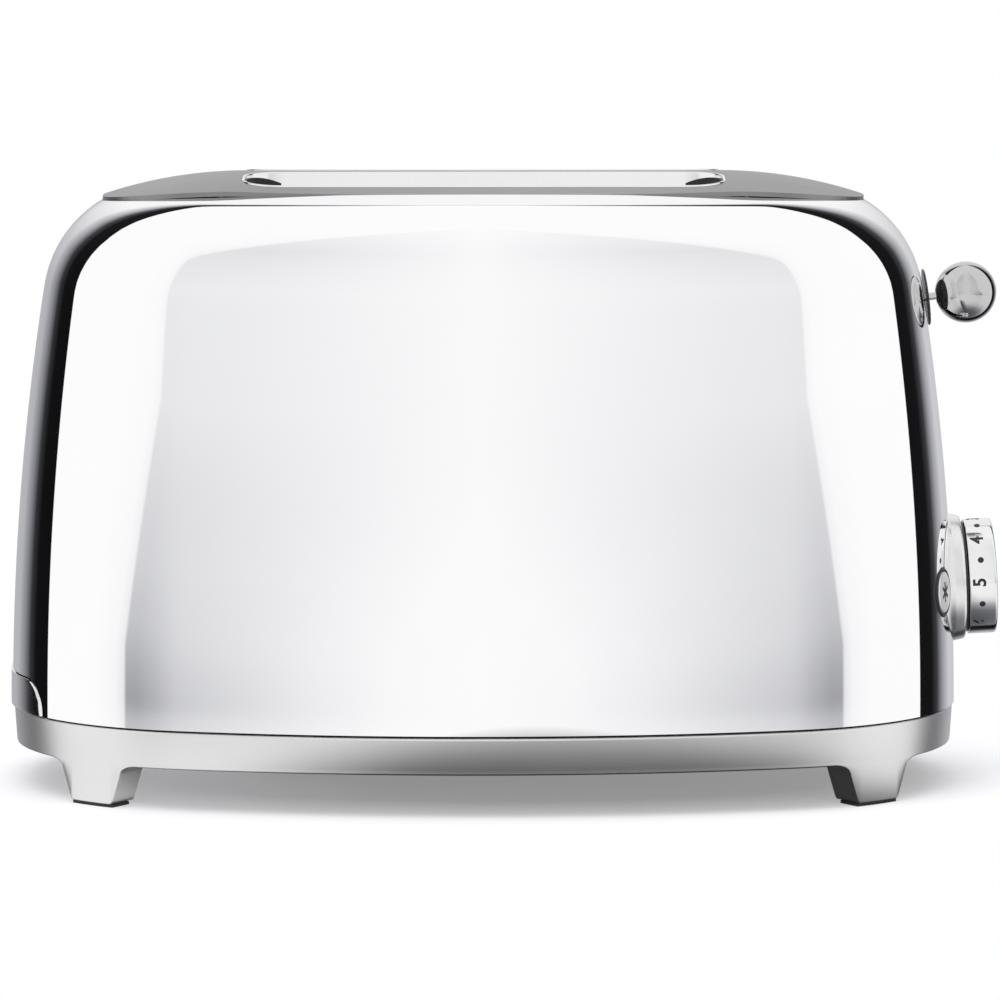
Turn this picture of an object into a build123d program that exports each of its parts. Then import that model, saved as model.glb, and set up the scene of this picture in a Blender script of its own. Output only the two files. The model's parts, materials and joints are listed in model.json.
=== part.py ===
"""Two-slice toaster: a polished domed shell on a cast band with four feet.

Millimetres. X runs along the body towards the lever and dial, Y away from the front, Z up.
The model is drawn about the middle of the body and then set down so that the origin lies
on the table, under the centre of the whole toaster.
"""

from build123d import *
from math import asin, copysign, cos, degrees, hypot, pi, radians, sin, sqrt, tan
import os

os.makedirs("parts", exist_ok=True)

# Body outline in plan: front, corner and end arcs that run into each other
body_length = 311.2
body_depth = 195.0
front_radius = 360.0
end_radius = 190.0
corner_reach = 19.5

# Body heights, counted from a level a little above the table, and how its walls and top curve
foot_drop = 1.6
foot_height = 12.2
band_height = 12.2
body_height = 198.6
widest_height = 21.0
wall_radius = 880.0
shoulder = 39.0
crown_rise = 3.8
wall_steps = 3
shoulder_steps = 6
inner_wall_steps = 2
inner_shoulder_steps = 4
top_flat = 156.0
end_facets = 3
facet_turn = 5.5
top_end_radius = 150.0
top_cross_radius = 302.0
sheet = 1.0
seam = 0.5

# Cast band, its feet and the plate that closes it from below
band_inset = 0.6
band_wall = 4.0
band_edge = 0.6
ledge_width = 5.0
ledge_thickness = 2.0
foot_depth = 12.0
foot_low_angles = (43.1, 56.2)
foot_top_angles = (34.0, 63.5)
foot_flare = 2.6
foot_waist = 9.0
foot_waist_share = 0.34
pad_thickness = 1.0
pad_margin = 1.5
plate_thickness = 1.6
plate_play = 0.3
vent_x = 44.0
vent_count = 7
vent_pitch = 15.0
vent_length = 52.0
vent_width = 4.0
base_screw_radius = 1.6
base_screw_angle = 78.0
screw_head_radius = 2.3
screw_head_height = 1.4
screw_head_sides = 6

# Top panel and its two bread slots
panel_end_margin = 30.6
panel_depth = 110.0
panel_front_radius = 560.0
panel_corner_radius = 44.0
panel_end_radius = 96.0
panel_thickness = 1.5
panel_gap = 0.4
slot_width = 32.0
slot_spacing = 50.0
slot_corner = 12.0
rim_wall = 1.0
rim_rise = 0.4
rim_depth = 22.0
rim_room = 5.5

# Inner chassis: two end plates, heat shields, heaters
end_space = 71.6
chassis_sheet = 1.2
chassis_depth = 116.0
chassis_fall = 28.6
chassis_leg = 6.0
upstand = 88.0
shield_sheet = 0.8
shield_bottom = 36.0
shield_margin = 2.0
shield_inset = 4.0
louvre_count = 6
louvre_width = 5.0
louvre_height = 22.0
heater_sheet = 0.6
heater_bottom = 46.0
heater_margin = 6.0
heater_inner_y = 4.2
heater_outer_y = 45.2
ribbon_count = 9
ribbon_width = 2.0
ribbon_thickness = 0.2
ribbon_margin = 14.0

# Bread guards, which close on the slice as it goes down
guard_wire = 1.8
guard_count = 8
guard_pitch = 18.0
guard_low = 50.0
guard_margin = 8.0
guard_overrun = 9.0
guard_open = 14.5
guard_travel = 5.5
guard_clearance = 0.3
guard_rail_step = 1.1

# Carriage: slides along two rods that lean with the end wall
lever_travel = 51.6
slide_lean = 7.2
rack_rest = 95.0
rack_width = 14.0
rack_finger = 2.0
rack_sheet = 1.2
rack_spine = 7.0
rack_fingers = 8
rack_pitch = 18.0
rack_play = 0.9
rack_tail = 12.0
carriage_sheet = 1.5
carriage_space = 59.6
carriage_low = 86.0
carriage_high = 108.0
carriage_half_width = 36.0
upright_half_width = 8.0
upright_margin = 7.0
stop_gap = 0.3
rod_radius = 2.5
rod_y = 30.0
rod_offset = 7.5
bush_radius = 3.5
running_fit = 0.05
block_reach = 14.5
block_width = 11.0
block_height = 16.0
shelf_thickness = 3.0
base_shelf_top = 34.0
base_shelf_margin = 8.0
shelf_flange = 1.5
lug_width = 14.0
lug_flange_height = 14.0

# Lever: ball knob on a thin shank, with a round collar that rides over the slot
ball_reach = 3.5
ball_fall = 39.9
ball_radius = 10.1
ball_steps = 12
shank_radius = 1.2
shank_length = 60.4
boss_radius = 5.0
boss_length = 12.0
collar_radius = 9.35
collar_thickness = 0.8
collar_gap = 0.3
lever_slot_width = 5.6
lever_slot_margin = 2.2

# Return spring, between a tab on the carriage and a bracket on the chassis
spring_radius = 3.6
spring_wire = 0.9
spring_turns = 9
spring_steps = 12
spring_y = -14.5
spring_offset = 6.5
spring_seat = 5.8
tab_fall = 9.0
tab_thickness = 1.5
bracket_fall = 26.6
bracket_height = 11.0

# Holding magnet under the carriage
magnet_offset = 14.5
core_width = 8.0
core_depth = 20.0
core_height = 16.0
coil_wall = 2.4
coil_height = 10.0
armature_length = 9.0
armature_depth = 14.0
armature_thickness = 2.0
magnet_gap = 0.3

# Browning dial
dial_height = 64.0
dial_radius = 19.0
dial_start = 5.1
dial_front = 14.3
dial_wall = 2.0
dial_edge = 1.2
dial_boss = 6.0
bezel_radius = 21.05
bezel_front_radius = 20.2
bezel_front = 4.0
bezel_wall = 3.2
bezel_back = 8.0
bezel_flange = 25.0
bezel_flange_thickness = 1.5
bezel_flange_sides = 8
gasket_radius = 18.2
gasket_hub = 10.0
shaft_radius = 3.0
hole_gap = 0.3

# Two round buttons beside the dial
button_y = 35.0
button_height = 63.2
button_radius = 6.7
button_proud = 0.6
button_travel = 1.5
button_stem = 2.0
ring_radius = 7.9
ring_wall = 0.9
ring_proud = 0.3
ring_back = 4.2
ring_flange = 10.0
ring_flange_thickness = 1.2
ring_flange_sides = 6
switch_depth = 11.0
switch_size = 8.0
switch_clearance = 0.3

# Control board behind the dial, on a bracket that stands on the bottom plate
board_depth = 22.4
board_thickness = 1.6
board_half_width = 44.0
board_bottom = 36.0
board_top = 90.0
bracket_thickness = 2.0
bracket_foot = 12.0
potentiometer_size = 17.0
potentiometer_depth = 9.0

# Crumb tray, which pulls out at the end away from the lever
tray_half_width = 46.0
tray_floor = 27.5
tray_sheet = 0.8
tray_rim = 5.5
tray_gap = 6.0
tab_half_width = 50.0
tab_top = 36.0
tab_corner = 10.6
tab_proud = 0.5
tab_inner = 1.4
tab_gap = 0.4
rail_sheet = 1.2
rail_play = 0.3
rail_lip = 4.0
rail_height = 5.0
rail_margin = 19.6

# Cord store under the plate, cord gland and terminal block
wrap_x = -30.0
wrap_radius = 32.0
wrap_wall = 3.0
wrap_lips = 4
wrap_lip = 12.0
wrap_lip_angle = 44.0
wrap_lip_thickness = 2.0
wrap_clear = 5.0
gland_x = 62.0
gland_margin = 31.5
gland_radius = 7.0
gland_bore = 3.6
gland_drop = 5.0
gland_flange = 10.0
gland_flange_sides = 6
terminal_x = 28.0
terminal_margin = 27.5
terminal_length = 26.0
terminal_depth = 14.0
terminal_height = 11.0
terminal_ways = 3
terminal_hole = 4.5

# Values worked out from the ones above
half_length = body_length / 2
half_depth = body_depth / 2
corner_radius = half_depth - corner_reach
body_shape = (half_length, half_depth, front_radius, corner_radius, end_radius)
chassis_span = body_length - 2 * end_space
half_span = chassis_span / 2
chassis_face = half_span + chassis_sheet
slot_length = chassis_span - 2 * (rim_wall + rim_room)
panel_length = body_length - 2 * panel_end_margin
panel_shape = (panel_length / 2, panel_depth / 2, panel_front_radius, panel_corner_radius, panel_end_radius)
band_top = foot_height + band_height
shell_bottom = band_top + seam
slot_y = slot_spacing / 2
band_inner = band_inset + band_wall
shoulder_top = body_height - crown_rise
chassis_top = body_height - chassis_fall
shield_top = chassis_top - shield_margin
heater_top = chassis_top - heater_margin
guard_high = chassis_top - guard_margin
lean = radians(slide_lean)
ball_x = half_length + ball_reach
ball_z = body_height - ball_fall
carriage_x = half_length - carriage_space
carriage_face = carriage_x + carriage_sheet
boss_z = ball_z - (ball_x - carriage_face) * tan(lean)
upright_top = boss_z + upright_margin
rod_x = carriage_face + rod_offset
spring_x = carriage_face + spring_offset
tab_z = boss_z - tab_fall
bracket_z = body_height - bracket_fall
magnet_x = carriage_face + magnet_offset
base_shelf_reach = magnet_x + base_shelf_margin
gland_y = half_depth - gland_margin
terminal_y = half_depth - terminal_margin
tray_end = half_span - tray_gap
rail_reach = half_length - rail_margin
plate_bottom = foot_height + band_edge + ledge_thickness
plate_top = plate_bottom + plate_thickness
rail_top = tray_floor - rail_play
foot_levels = (
    (pad_thickness - foot_drop, 0),
    (foot_waist, foot_waist_share),
    (foot_height + band_edge, 1),
)
sides = {"front": -1, "back": 1}
full_turn = 360
overcut = 5.0
skin_span = (shell_bottom - overcut, tab_top + overcut)
clear_height = 60.0
panel_base = body_height - clear_height / 2
pieces = {}


def keep(name, part):
    """Name a finished piece and set it aside for the end of the script."""
    part.label = name
    pieces[name] = part


def drop_of_arc(radius, distance):
    """How far an arc falls away from its tangent at a distance along it."""
    return radius - sqrt(radius**2 - distance**2)


def wall_drop(height):
    """How far the bulged wall has drawn in at a height."""
    return drop_of_arc(wall_radius, height - widest_height)


def wall_x(height):
    """Where the end wall stands at a height, on the middle plane."""
    return half_length - wall_drop(height)


def wall_lean(height):
    """How far the end wall leans back at a height, in degrees."""
    return degrees(asin((height - widest_height) / wall_radius))


def drawn_in(shape, inset):
    """The same outline drawn in all round: every half size and radius is that much less."""
    return tuple(value - inset for value in shape)


def corner_centre(shape):
    """Centre of the corner arc that touches both the front arc and the end arc."""
    half_x, half_y, front, corner, end = shape
    front_y = front - half_y
    end_x = half_x - end
    reach_front = front - corner
    reach_end = end - corner
    span = hypot(end_x, front_y)
    along = (span**2 + reach_front**2 - reach_end**2) / (2 * span)
    across = sqrt(reach_front**2 - along**2)
    step_x, step_y = end_x / span, -front_y / span
    first = (step_x * along + step_y * across, front_y + step_y * along - step_x * across)
    second = (step_x * along - step_y * across, front_y + step_y * along + step_x * across)
    return max(first, second)


def outline(plane, shape):
    """A closed outline of eight arcs, the same on both sides of X and Y."""
    half_x, half_y, front, corner, end = shape
    centre_x, centre_y = corner_centre(shape)
    front_y, end_x = front - half_y, half_x - end
    front_scale, end_scale = front / (front - corner), end / (end - corner)
    join_front = (centre_x * front_scale, front_y + (centre_y - front_y) * front_scale)
    join_end = (end_x + (centre_x - end_x) * end_scale, centre_y * end_scale)
    outward = Vector(
        (join_front[0] + join_end[0]) / 2 - centre_x,
        (join_front[1] + join_end[1]) / 2 - centre_y,
    ).normalized() * corner
    join_corner = (centre_x + outward.X, centre_y + outward.Y)

    def turned(point, sign_x, sign_y):
        return (point[0] * sign_x, point[1] * sign_y)

    with BuildSketch(plane) as sketch:
        with BuildLine():
            for sign in (1, -1):
                front_ends = (turned(join_front, -sign, sign), turned(join_front, sign, sign))
                end_ends = (turned(join_end, sign, sign), turned(join_end, sign, -sign))
                ThreePointArc(front_ends[0], (0, -half_y * sign), front_ends[1])
                ThreePointArc(front_ends[1], turned(join_corner, sign, sign), end_ends[0])
                ThreePointArc(end_ends[0], (half_x * sign, 0), end_ends[1])
                far_front = turned(join_front, sign, -sign)
                ThreePointArc(end_ends[1], turned(join_corner, sign, -sign), far_front)
        make_face()
    return sketch.sketch


def band_line(height, inset):
    """The band's outline at a height, drawn in from the foot of the body wall."""
    return outline(Plane.XY.offset(height), drawn_in(body_shape, inset))


def around_body(profile):
    """Carry an upright profile round the body: arc by arc for a quarter, then mirrored twice.

    The profile is drawn on the plane it is given, whose X runs inward from the body's
    widest outline and whose Y runs up.
    """
    half_x, half_y, front, corner, end = body_shape
    centre_x, centre_y = corner_centre(body_shape)
    front_turn = asin(centre_x / (front - corner))
    end_turn = asin(-centre_y / (end - corner))
    stretches = (
        ((0, front - half_y), front, -pi / 2, front_turn - pi / 2),
        ((centre_x, centre_y), corner, front_turn - pi / 2, -end_turn),
        ((half_x - end, 0), end, -end_turn, 0),
    )
    with BuildPart() as ring:
        for (x, y), radius, start, stop in stretches:
            outward = Vector(cos(start), sin(start), 0)
            inward = outward * -1
            edge = Vector(x, y, 0) + outward * radius
            plane = Plane(origin=edge, x_dir=inward, z_dir=inward.cross(Vector(0, 0, 1)))
            revolve(profile(plane), axis=Axis((x, y, 0), (0, 0, 1)), revolution_arc=degrees(stop - start))
        mirror(about=Plane.YZ)
        mirror(about=Plane.XZ)
    return ring.part


def wall_profile(low, high, outside, inside):
    """A profile that follows a short length of the wall, from one depth to another."""

    def draw(plane):
        with BuildSketch(plane) as sketch:
            with BuildLine():
                Polyline(
                    (wall_drop(low) + outside, low),
                    (wall_drop(high) + outside, high),
                    (wall_drop(high) + inside, high),
                    (wall_drop(low) + inside, low),
                    close=True,
                )
            make_face()
        return sketch.sketch

    return draw


def shell_points(inset, wall_steps, shoulder_steps):
    """Points up the bulged wall and over the rounded shoulder, drawn in by the inset."""
    shoulder_z = shoulder_top - shoulder
    rise = asin((shoulder_z - widest_height) / (wall_radius - shoulder))
    start = asin((shell_bottom - widest_height) / (wall_radius - inset))
    centre_x = wall_radius - (wall_radius - shoulder) * cos(rise)
    points = []
    for step in range(wall_steps):
        turn = start + (rise - start) * step / wall_steps
        reach = wall_radius - inset
        points.append((wall_radius - reach * cos(turn), widest_height + reach * sin(turn)))
    for step in range(shoulder_steps + 1):
        turn = rise + (pi / 2 - rise) * step / shoulder_steps
        reach = shoulder - inset
        points.append((centre_x - reach * cos(turn), shoulder_z + reach * sin(turn)))
    return points


def shell_profile(plane):
    """Section of the polished sheet, with finer steps outside than inside."""
    outside = shell_points(0, wall_steps, shoulder_steps)
    inside = shell_points(sheet, inner_wall_steps, inner_shoulder_steps)
    with BuildSketch(plane) as sketch:
        with BuildLine():
            Polyline(*outside, *reversed(inside), close=True)
        make_face()
    return sketch.sketch


def above_top(inset):
    """Everything above the domed top, lowered by inset: straight in the middle, bent down at the ends."""
    cross_bend = top_cross_radius - inset
    end_bend = top_end_radius - inset
    reach = half_depth + overcut
    drop = drop_of_arc(cross_bend, reach)
    with BuildPart() as space:
        for step in range(-end_facets, end_facets + 1):
            turn = radians(step * facet_turn)
            straight = copysign(top_flat / 2, step) if step else 0
            along = end_bend * sin(turn) + straight
            crown = body_height - top_end_radius + end_bend * cos(turn)
            place = Plane(origin=(along, 0, crown), x_dir=(0, 1, 0), z_dir=(cos(turn), 0, -sin(turn)))
            with BuildSketch(place) as section:
                with BuildLine():
                    ThreePointArc((-reach, -drop), (0, 0), (reach, -drop))
                    Polyline((reach, -drop), (reach, clear_height), (-reach, clear_height), (-reach, -drop))
                make_face()
            extrude(section.sketch, amount=body_length, both=True)
    return space.part


def end_plane(height):
    """A plane on the end wall at a height, facing outward, with its local X along Y."""
    lean = radians(wall_lean(height))
    return Plane(origin=(wall_x(height), 0, height), x_dir=(0, 1, 0), z_dir=(cos(lean), 0, sin(lean)))


def button_plane(side):
    """A plane on the wall beside the dial, square to the wall there."""
    shape = drawn_in(body_shape, wall_drop(button_height))
    corner = shape[3]
    centre_x, centre_y = corner_centre(shape)
    turn = asin((button_y + centre_y) / corner)
    lean = radians(wall_lean(button_height))
    normal = Vector(cos(turn) * cos(lean), side * sin(turn) * cos(lean), sin(lean))
    origin = (centre_x + corner * cos(turn), side * button_y, button_height)
    return Plane(origin=origin, x_dir=(-normal.Y, normal.X, 0), z_dir=normal)


def corner_place(angle, radius, sign_x, sign_y):
    """A point at an angle round the body's corner arc, in one of the four corners."""
    centre_x, centre_y = corner_centre(body_shape)
    x = centre_x + radius * cos(radians(angle))
    y = -centre_y + radius * sin(radians(angle))
    return (sign_x * x, sign_y * y)


def corner_sector(height, angles, depth, margin, sign_x, sign_y):
    """A slice of the corner between two angles, from the band's face inward."""
    outer = corner_radius - band_inset - margin
    inner = corner_radius - band_inset - depth + margin
    low, high = angles
    middle = (low + high) / 2

    def place(angle, radius):
        return corner_place(angle, radius, sign_x, sign_y)

    with BuildSketch(Plane.XY.offset(height)) as sketch:
        with BuildLine():
            ThreePointArc(place(low, outer), place(middle, outer), place(high, outer))
            Line(place(high, outer), place(high, inner))
            ThreePointArc(place(high, inner), place(middle, inner), place(low, inner))
            Line(place(low, inner), place(low, outer))
        make_face()
    return sketch.sketch


corners = [(sign_x, sign_y) for sign_x in (1, -1) for sign_y in (1, -1)]
dial_plane = end_plane(dial_height)

# Cast band with a ledge for the bottom plate and four feet that flare into it
with BuildPart() as band_ring:
    extrude(band_line(foot_height, band_inset), amount=band_height)
    chamfer(band_ring.faces().filter_by(Axis.Z).edges(), length=band_edge)

with BuildPart() as base_frame:
    add(band_ring.part)
    extrude(band_line(foot_height, band_inner + ledge_width), amount=band_height, mode=Mode.SUBTRACT)
    extrude(band_line(foot_height, band_inner), amount=plate_top - foot_height, mode=Mode.SUBTRACT)
    extrude(band_line(plate_top + ledge_thickness, band_inner), amount=band_height, mode=Mode.SUBTRACT)
    for sign_x, sign_y in corners:
        sections = []
        for level, share in foot_levels:
            angles = [low + (top - low) * share for low, top in zip(foot_low_angles, foot_top_angles)]
            depth = foot_depth + foot_flare * share
            sections.append(corner_sector(level, angles, depth, 0, sign_x, sign_y).face())
        loft(sections=sections, ruled=True)
        at = corner_place(base_screw_angle, corner_radius - band_inner - ledge_width / 2, sign_x, sign_y)
        with BuildSketch(Plane.XY.offset(plate_top)):
            with Locations(at):
                Circle(base_screw_radius)
        extrude(amount=ledge_thickness, mode=Mode.SUBTRACT)
keep("base_frame", base_frame.part)

with BuildPart() as foot_pads:
    for sign_x, sign_y in corners:
        extrude(
            corner_sector(-foot_drop, foot_low_angles, foot_depth, pad_margin, sign_x, sign_y),
            amount=pad_thickness,
        )
keep("foot_pads", foot_pads.part)

# Bottom plate, lifted against the ledge, with vents under the heaters
with BuildPart() as bottom_plate:
    extrude(band_line(plate_bottom, band_inner + plate_play), amount=plate_thickness)
    for sign_x, sign_y in corners:
        top_depth = foot_depth + foot_flare
        sector = corner_sector(plate_bottom, foot_top_angles, top_depth, -plate_play, sign_x, sign_y)
        extrude(sector, amount=plate_thickness, mode=Mode.SUBTRACT)
        at = corner_place(base_screw_angle, corner_radius - band_inner - ledge_width / 2, sign_x, sign_y)
        with BuildSketch(Plane.XY.offset(plate_bottom)):
            with Locations(at):
                Circle(base_screw_radius)
        extrude(amount=plate_thickness, mode=Mode.SUBTRACT)
    with BuildSketch(Plane.XY.offset(plate_bottom)):
        with Locations((gland_x, gland_y)):
            Circle(gland_radius)
        with Locations((vent_x, 0)):
            with GridLocations(0, vent_pitch, 1, vent_count):
                Rectangle(vent_length, vent_width)
    extrude(amount=plate_thickness, mode=Mode.SUBTRACT)
keep("bottom_plate", bottom_plate.part)

# One screw in each corner, from below through the plate into the ledge
with BuildPart() as base_screws:
    for sign_x, sign_y in corners:
        at = corner_place(base_screw_angle, corner_radius - band_inner - ledge_width / 2, sign_x, sign_y)
        with BuildSketch(Plane.XY.offset(plate_bottom - screw_head_height)):
            with Locations(at):
                RegularPolygon(screw_head_radius, screw_head_sides)
        extrude(amount=screw_head_height)
        with BuildSketch(Plane.XY.offset(plate_bottom)):
            with Locations(at):
                Circle(base_screw_radius)
        extrude(amount=plate_thickness + ledge_thickness)
keep("base_screws", base_screws.part)

# Cord store: a short drum with four lips that keep the turns on
with BuildPart() as cord_wrap:
    with BuildSketch(Plane.XY.offset(wrap_clear)):
        with Locations((wrap_x, 0)):
            Circle(wrap_radius)
            Circle(wrap_radius - wrap_wall, mode=Mode.SUBTRACT)
    extrude(amount=plate_bottom - wrap_clear)
    with BuildSketch(Plane.XY.offset(wrap_clear)):
        for index in range(wrap_lips):
            start = full_turn * index / wrap_lips - wrap_lip_angle / 2
            middle_radius, lip_radius = wrap_radius - wrap_wall / 2, wrap_radius + wrap_lip
            with BuildLine():
                root = CenterArc((wrap_x, 0), middle_radius, start, wrap_lip_angle)
                edge = CenterArc((wrap_x, 0), lip_radius, start, wrap_lip_angle)
                Line(root @ 0, edge @ 0)
                Line(root @ 1, edge @ 1)
            make_face()
    extrude(amount=wrap_lip_thickness)
keep("cord_wrap", cord_wrap.part)

with BuildPart() as cord_gland:
    with BuildSketch(Plane.XY.offset(plate_bottom - gland_drop)):
        with Locations((gland_x, gland_y)):
            Circle(gland_radius)
            Circle(gland_bore, mode=Mode.SUBTRACT)
    extrude(amount=gland_drop + plate_thickness)
    with BuildSketch(Plane.XY.offset(plate_top)):
        with Locations((gland_x, gland_y)):
            RegularPolygon(gland_flange, gland_flange_sides)
            Circle(gland_bore, mode=Mode.SUBTRACT)
    extrude(amount=plate_thickness)
keep("cord_gland", cord_gland.part)

with BuildPart() as terminal_block:
    with BuildSketch(Plane.XY.offset(plate_top)):
        with Locations((terminal_x, terminal_y)):
            Rectangle(terminal_length, terminal_depth)
    extrude(amount=terminal_height)
    with BuildSketch(Plane.XY.offset(plate_top + terminal_height)):
        with Locations((terminal_x, terminal_y)):
            with GridLocations(terminal_length / terminal_ways, 0, terminal_ways, 1):
                Rectangle(terminal_hole, terminal_hole)
    extrude(amount=-terminal_height / 2, mode=Mode.SUBTRACT)
keep("terminal_block", terminal_block.part)


def tray_tab(grow, start, length):
    """The crumb tray's tab seen from the end, grown all round, as a prism along X."""
    with BuildPart() as prism:
        with BuildSketch(Plane.YZ.offset(start)):
            with Locations((0, shell_bottom)):
                Rectangle(2 * (tab_half_width + grow), 2 * (tab_top - shell_bottom + grow))
        extrude(amount=length)
        fillet(prism.edges().filter_by(Axis.X), radius=tab_corner + grow)
    return prism.part


# Polished shell: one sheet section carried round the body, then its openings
lean_run = lever_travel * sin(lean)
lean_drop = lever_travel * cos(lean)
shank_z = ball_z - (ball_x - wall_x(ball_z)) * tan(lean)
slot_top = shank_z + shank_radius + lever_slot_margin
slot_bottom = shank_z - lean_drop - shank_radius - lever_slot_margin
with BuildPart() as body_shell:
    add(around_body(shell_profile))
    opening = outline(Plane.XY.offset(panel_base), drawn_in(panel_shape, -panel_gap))
    extrude(opening, amount=clear_height, mode=Mode.SUBTRACT)
    with BuildSketch(Plane.YZ.offset(half_length - shoulder)):
        with Locations((0, (slot_top + slot_bottom) / 2)):
            SlotOverall(slot_top - slot_bottom, lever_slot_width, rotation=90)
    extrude(amount=clear_height, mode=Mode.SUBTRACT)
    with BuildSketch(dial_plane.offset(-shoulder / 2)):
        Circle(bezel_radius + hole_gap)
    extrude(amount=shoulder, mode=Mode.SUBTRACT)
    for side in sides.values():
        with BuildSketch(button_plane(side).offset(-shoulder / 4)):
            Circle(ring_radius + hole_gap)
        extrude(amount=shoulder / 2, mode=Mode.SUBTRACT)
    add(tray_tab(tab_gap, -half_length - overcut, shoulder), mode=Mode.SUBTRACT)
keep("body_shell", body_shell.part)


def slot_prism(bottom, height, grow):
    """Both bread slots as upright prisms with rounded corners."""
    with BuildPart() as prism:
        with BuildSketch(Plane.XY.offset(bottom)):
            with GridLocations(0, slot_spacing, 1, 2):
                RectangleRounded(slot_length + 2 * grow, slot_width + 2 * grow, slot_corner + grow)
        extrude(amount=height)
    return prism.part


# Satin top panel: a slice of the dome with the two slots cut through
with BuildPart() as top_panel:
    extrude(outline(Plane.XY.offset(panel_base), panel_shape), amount=clear_height)
    add(above_top(0), mode=Mode.SUBTRACT)
    add(above_top(panel_thickness), mode=Mode.INTERSECT)
    add(slot_prism(panel_base, clear_height, rim_wall), mode=Mode.SUBTRACT)
keep("top_panel", top_panel.part)

# A bright rim lines each slot and stands a little above the panel
rim_length = slot_length + 2 * rim_wall
rim_width = slot_width + 2 * rim_wall
for name, side in sides.items():
    with BuildPart() as slot_rim:
        with BuildSketch(Plane.XY.offset(body_height - rim_depth)):
            with Locations((0, side * slot_y)):
                RectangleRounded(rim_length, rim_width, slot_corner + rim_wall)
                RectangleRounded(slot_length, slot_width, slot_corner, mode=Mode.SUBTRACT)
        extrude(amount=rim_depth + overcut)
        add(above_top(-rim_rise), mode=Mode.SUBTRACT)
    keep(f"slot_rim_{name}", slot_rim.part)

# End plates of the chassis: slots for the guard wires and the bread racks
rack_slot_top = rack_rest + rack_sheet + rack_play
rack_slot_bottom = rack_rest - rack_spine - lean_drop - rack_play
guard_slot = (guard_travel + guard_wire + 2 * guard_clearance, guard_wire + 2 * guard_clearance)
for name, sign in (("left", -1), ("right", 1)):
    with BuildPart() as chassis_plate:
        with BuildSketch(Plane.YZ.offset(sign * half_span)):
            with Locations((0, plate_top)):
                Rectangle(chassis_depth, chassis_top - plate_top, align=(Align.CENTER, Align.MIN))
                Rectangle(upstand, body_height - plate_top, align=(Align.CENTER, Align.MIN))
            for side in sides.values():
                with Locations((side * slot_y, rack_slot_bottom)):
                    Rectangle(
                        rack_sheet + 2 * rack_play,
                        rack_slot_top - rack_slot_bottom,
                        align=(Align.CENTER, Align.MIN),
                        mode=Mode.SUBTRACT,
                    )
                for away in (-1, 1):
                    middle = side * (slot_y + away * (guard_open + guard_rail_step - guard_travel / 2))
                    for height in (guard_low, guard_high):
                        with Locations((middle, height)):
                            Rectangle(*guard_slot, mode=Mode.SUBTRACT)
            if sign < 0:
                with Locations((0, plate_top)):
                    Rectangle(
                        chassis_depth - 2 * chassis_leg,
                        rack_slot_bottom - plate_top,
                        align=(Align.CENTER, Align.MIN),
                        mode=Mode.SUBTRACT,
                    )
        extrude(amount=sign * chassis_sheet)
        add(above_top(panel_thickness), mode=Mode.SUBTRACT)
    keep(f"chassis_{name}", chassis_plate.part)

# Bright heat shields between the end plates, in front of and behind the heaters
shield_y = chassis_depth / 2 - shield_sheet - shield_inset
for name, side in sides.items():
    with BuildPart() as heat_shield:
        with BuildSketch(Plane.XZ.offset(-side * shield_y)):
            with Locations((0, shield_bottom)):
                Rectangle(chassis_span, shield_top - shield_bottom, align=(Align.CENTER, Align.MIN))
            with Locations((0, (shield_top + shield_bottom) / 2)):
                with GridLocations(chassis_span / louvre_count, 0, louvre_count, 1):
                    Rectangle(louvre_width, louvre_height, mode=Mode.SUBTRACT)
        extrude(amount=-side * shield_sheet)
    keep(f"heat_shield_{name}", heat_shield.part)

# Four mica boards, each wound with flat ribbon on the side of the bread
heater_places = {"inner": (heater_inner_y, 1), "outer": (heater_outer_y, -1)}
for name, side in sides.items():
    for place, (near_y, towards) in heater_places.items():
        with BuildPart() as heater_board:
            with BuildSketch(Plane.XZ.offset(-side * near_y)):
                with Locations((0, heater_bottom)):
                    Rectangle(chassis_span, heater_top - heater_bottom, align=(Align.CENTER, Align.MIN))
            extrude(amount=-side * heater_sheet)
        keep(f"heater_board_{name}_{place}", heater_board.part)
        face_y = near_y + heater_sheet if towards > 0 else near_y
        with BuildPart() as heater_ribbon:
            with BuildSketch(Plane.XZ.offset(-side * face_y)):
                with Locations((0, (heater_top + heater_bottom) / 2)):
                    pitch = (heater_top - heater_bottom) / (ribbon_count + 1)
                    with GridLocations(0, pitch, 1, ribbon_count):
                        Rectangle(chassis_span - 2 * ribbon_margin, ribbon_width)
                    tie_x = chassis_span / 2 - ribbon_margin
                    for row in range(ribbon_count - 1):
                        tie_z = (row - (ribbon_count - 2) / 2) * pitch
                        with Locations(((-1) ** row * (tie_x - ribbon_width / 2), tie_z)):
                            Rectangle(ribbon_width, pitch)
            extrude(amount=-side * towards * ribbon_thickness)
        keep(f"heater_ribbon_{name}_{place}", heater_ribbon.part)

# Bread guards: upright wires on two rails whose ends run in the chassis slots
for name, side in sides.items():
    for place, away in (("inner", -1), ("outer", 1)):
        guard_y = side * (slot_y + away * guard_open)
        rail_y = guard_y + side * away * guard_rail_step
        rail_half = half_span + chassis_sheet + guard_overrun / 2
        with BuildPart() as bread_guard:
            for index in range(guard_count):
                x = (index - (guard_count - 1) / 2) * guard_pitch
                with BuildSketch(Plane.XY.offset(guard_low - guard_overrun)):
                    with Locations((x, guard_y)):
                        Rectangle(guard_wire, guard_wire)
                extrude(amount=guard_high - guard_low + 2 * guard_overrun)
            for height in (guard_low, guard_high):
                with BuildSketch(Plane.YZ.offset(-rail_half)):
                    with Locations((rail_y, height)):
                        Rectangle(guard_wire, guard_wire)
                extrude(amount=2 * rail_half)
        keep(f"bread_guard_{name}_{place}", bread_guard.part)

# Guide for the carriage: two leaning rods between a base shelf and two lugs
up_slide = Vector(-sin(lean), 0, cos(lean))
rod_mid = (carriage_low + carriage_high) / 2 + stop_gap


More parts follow.
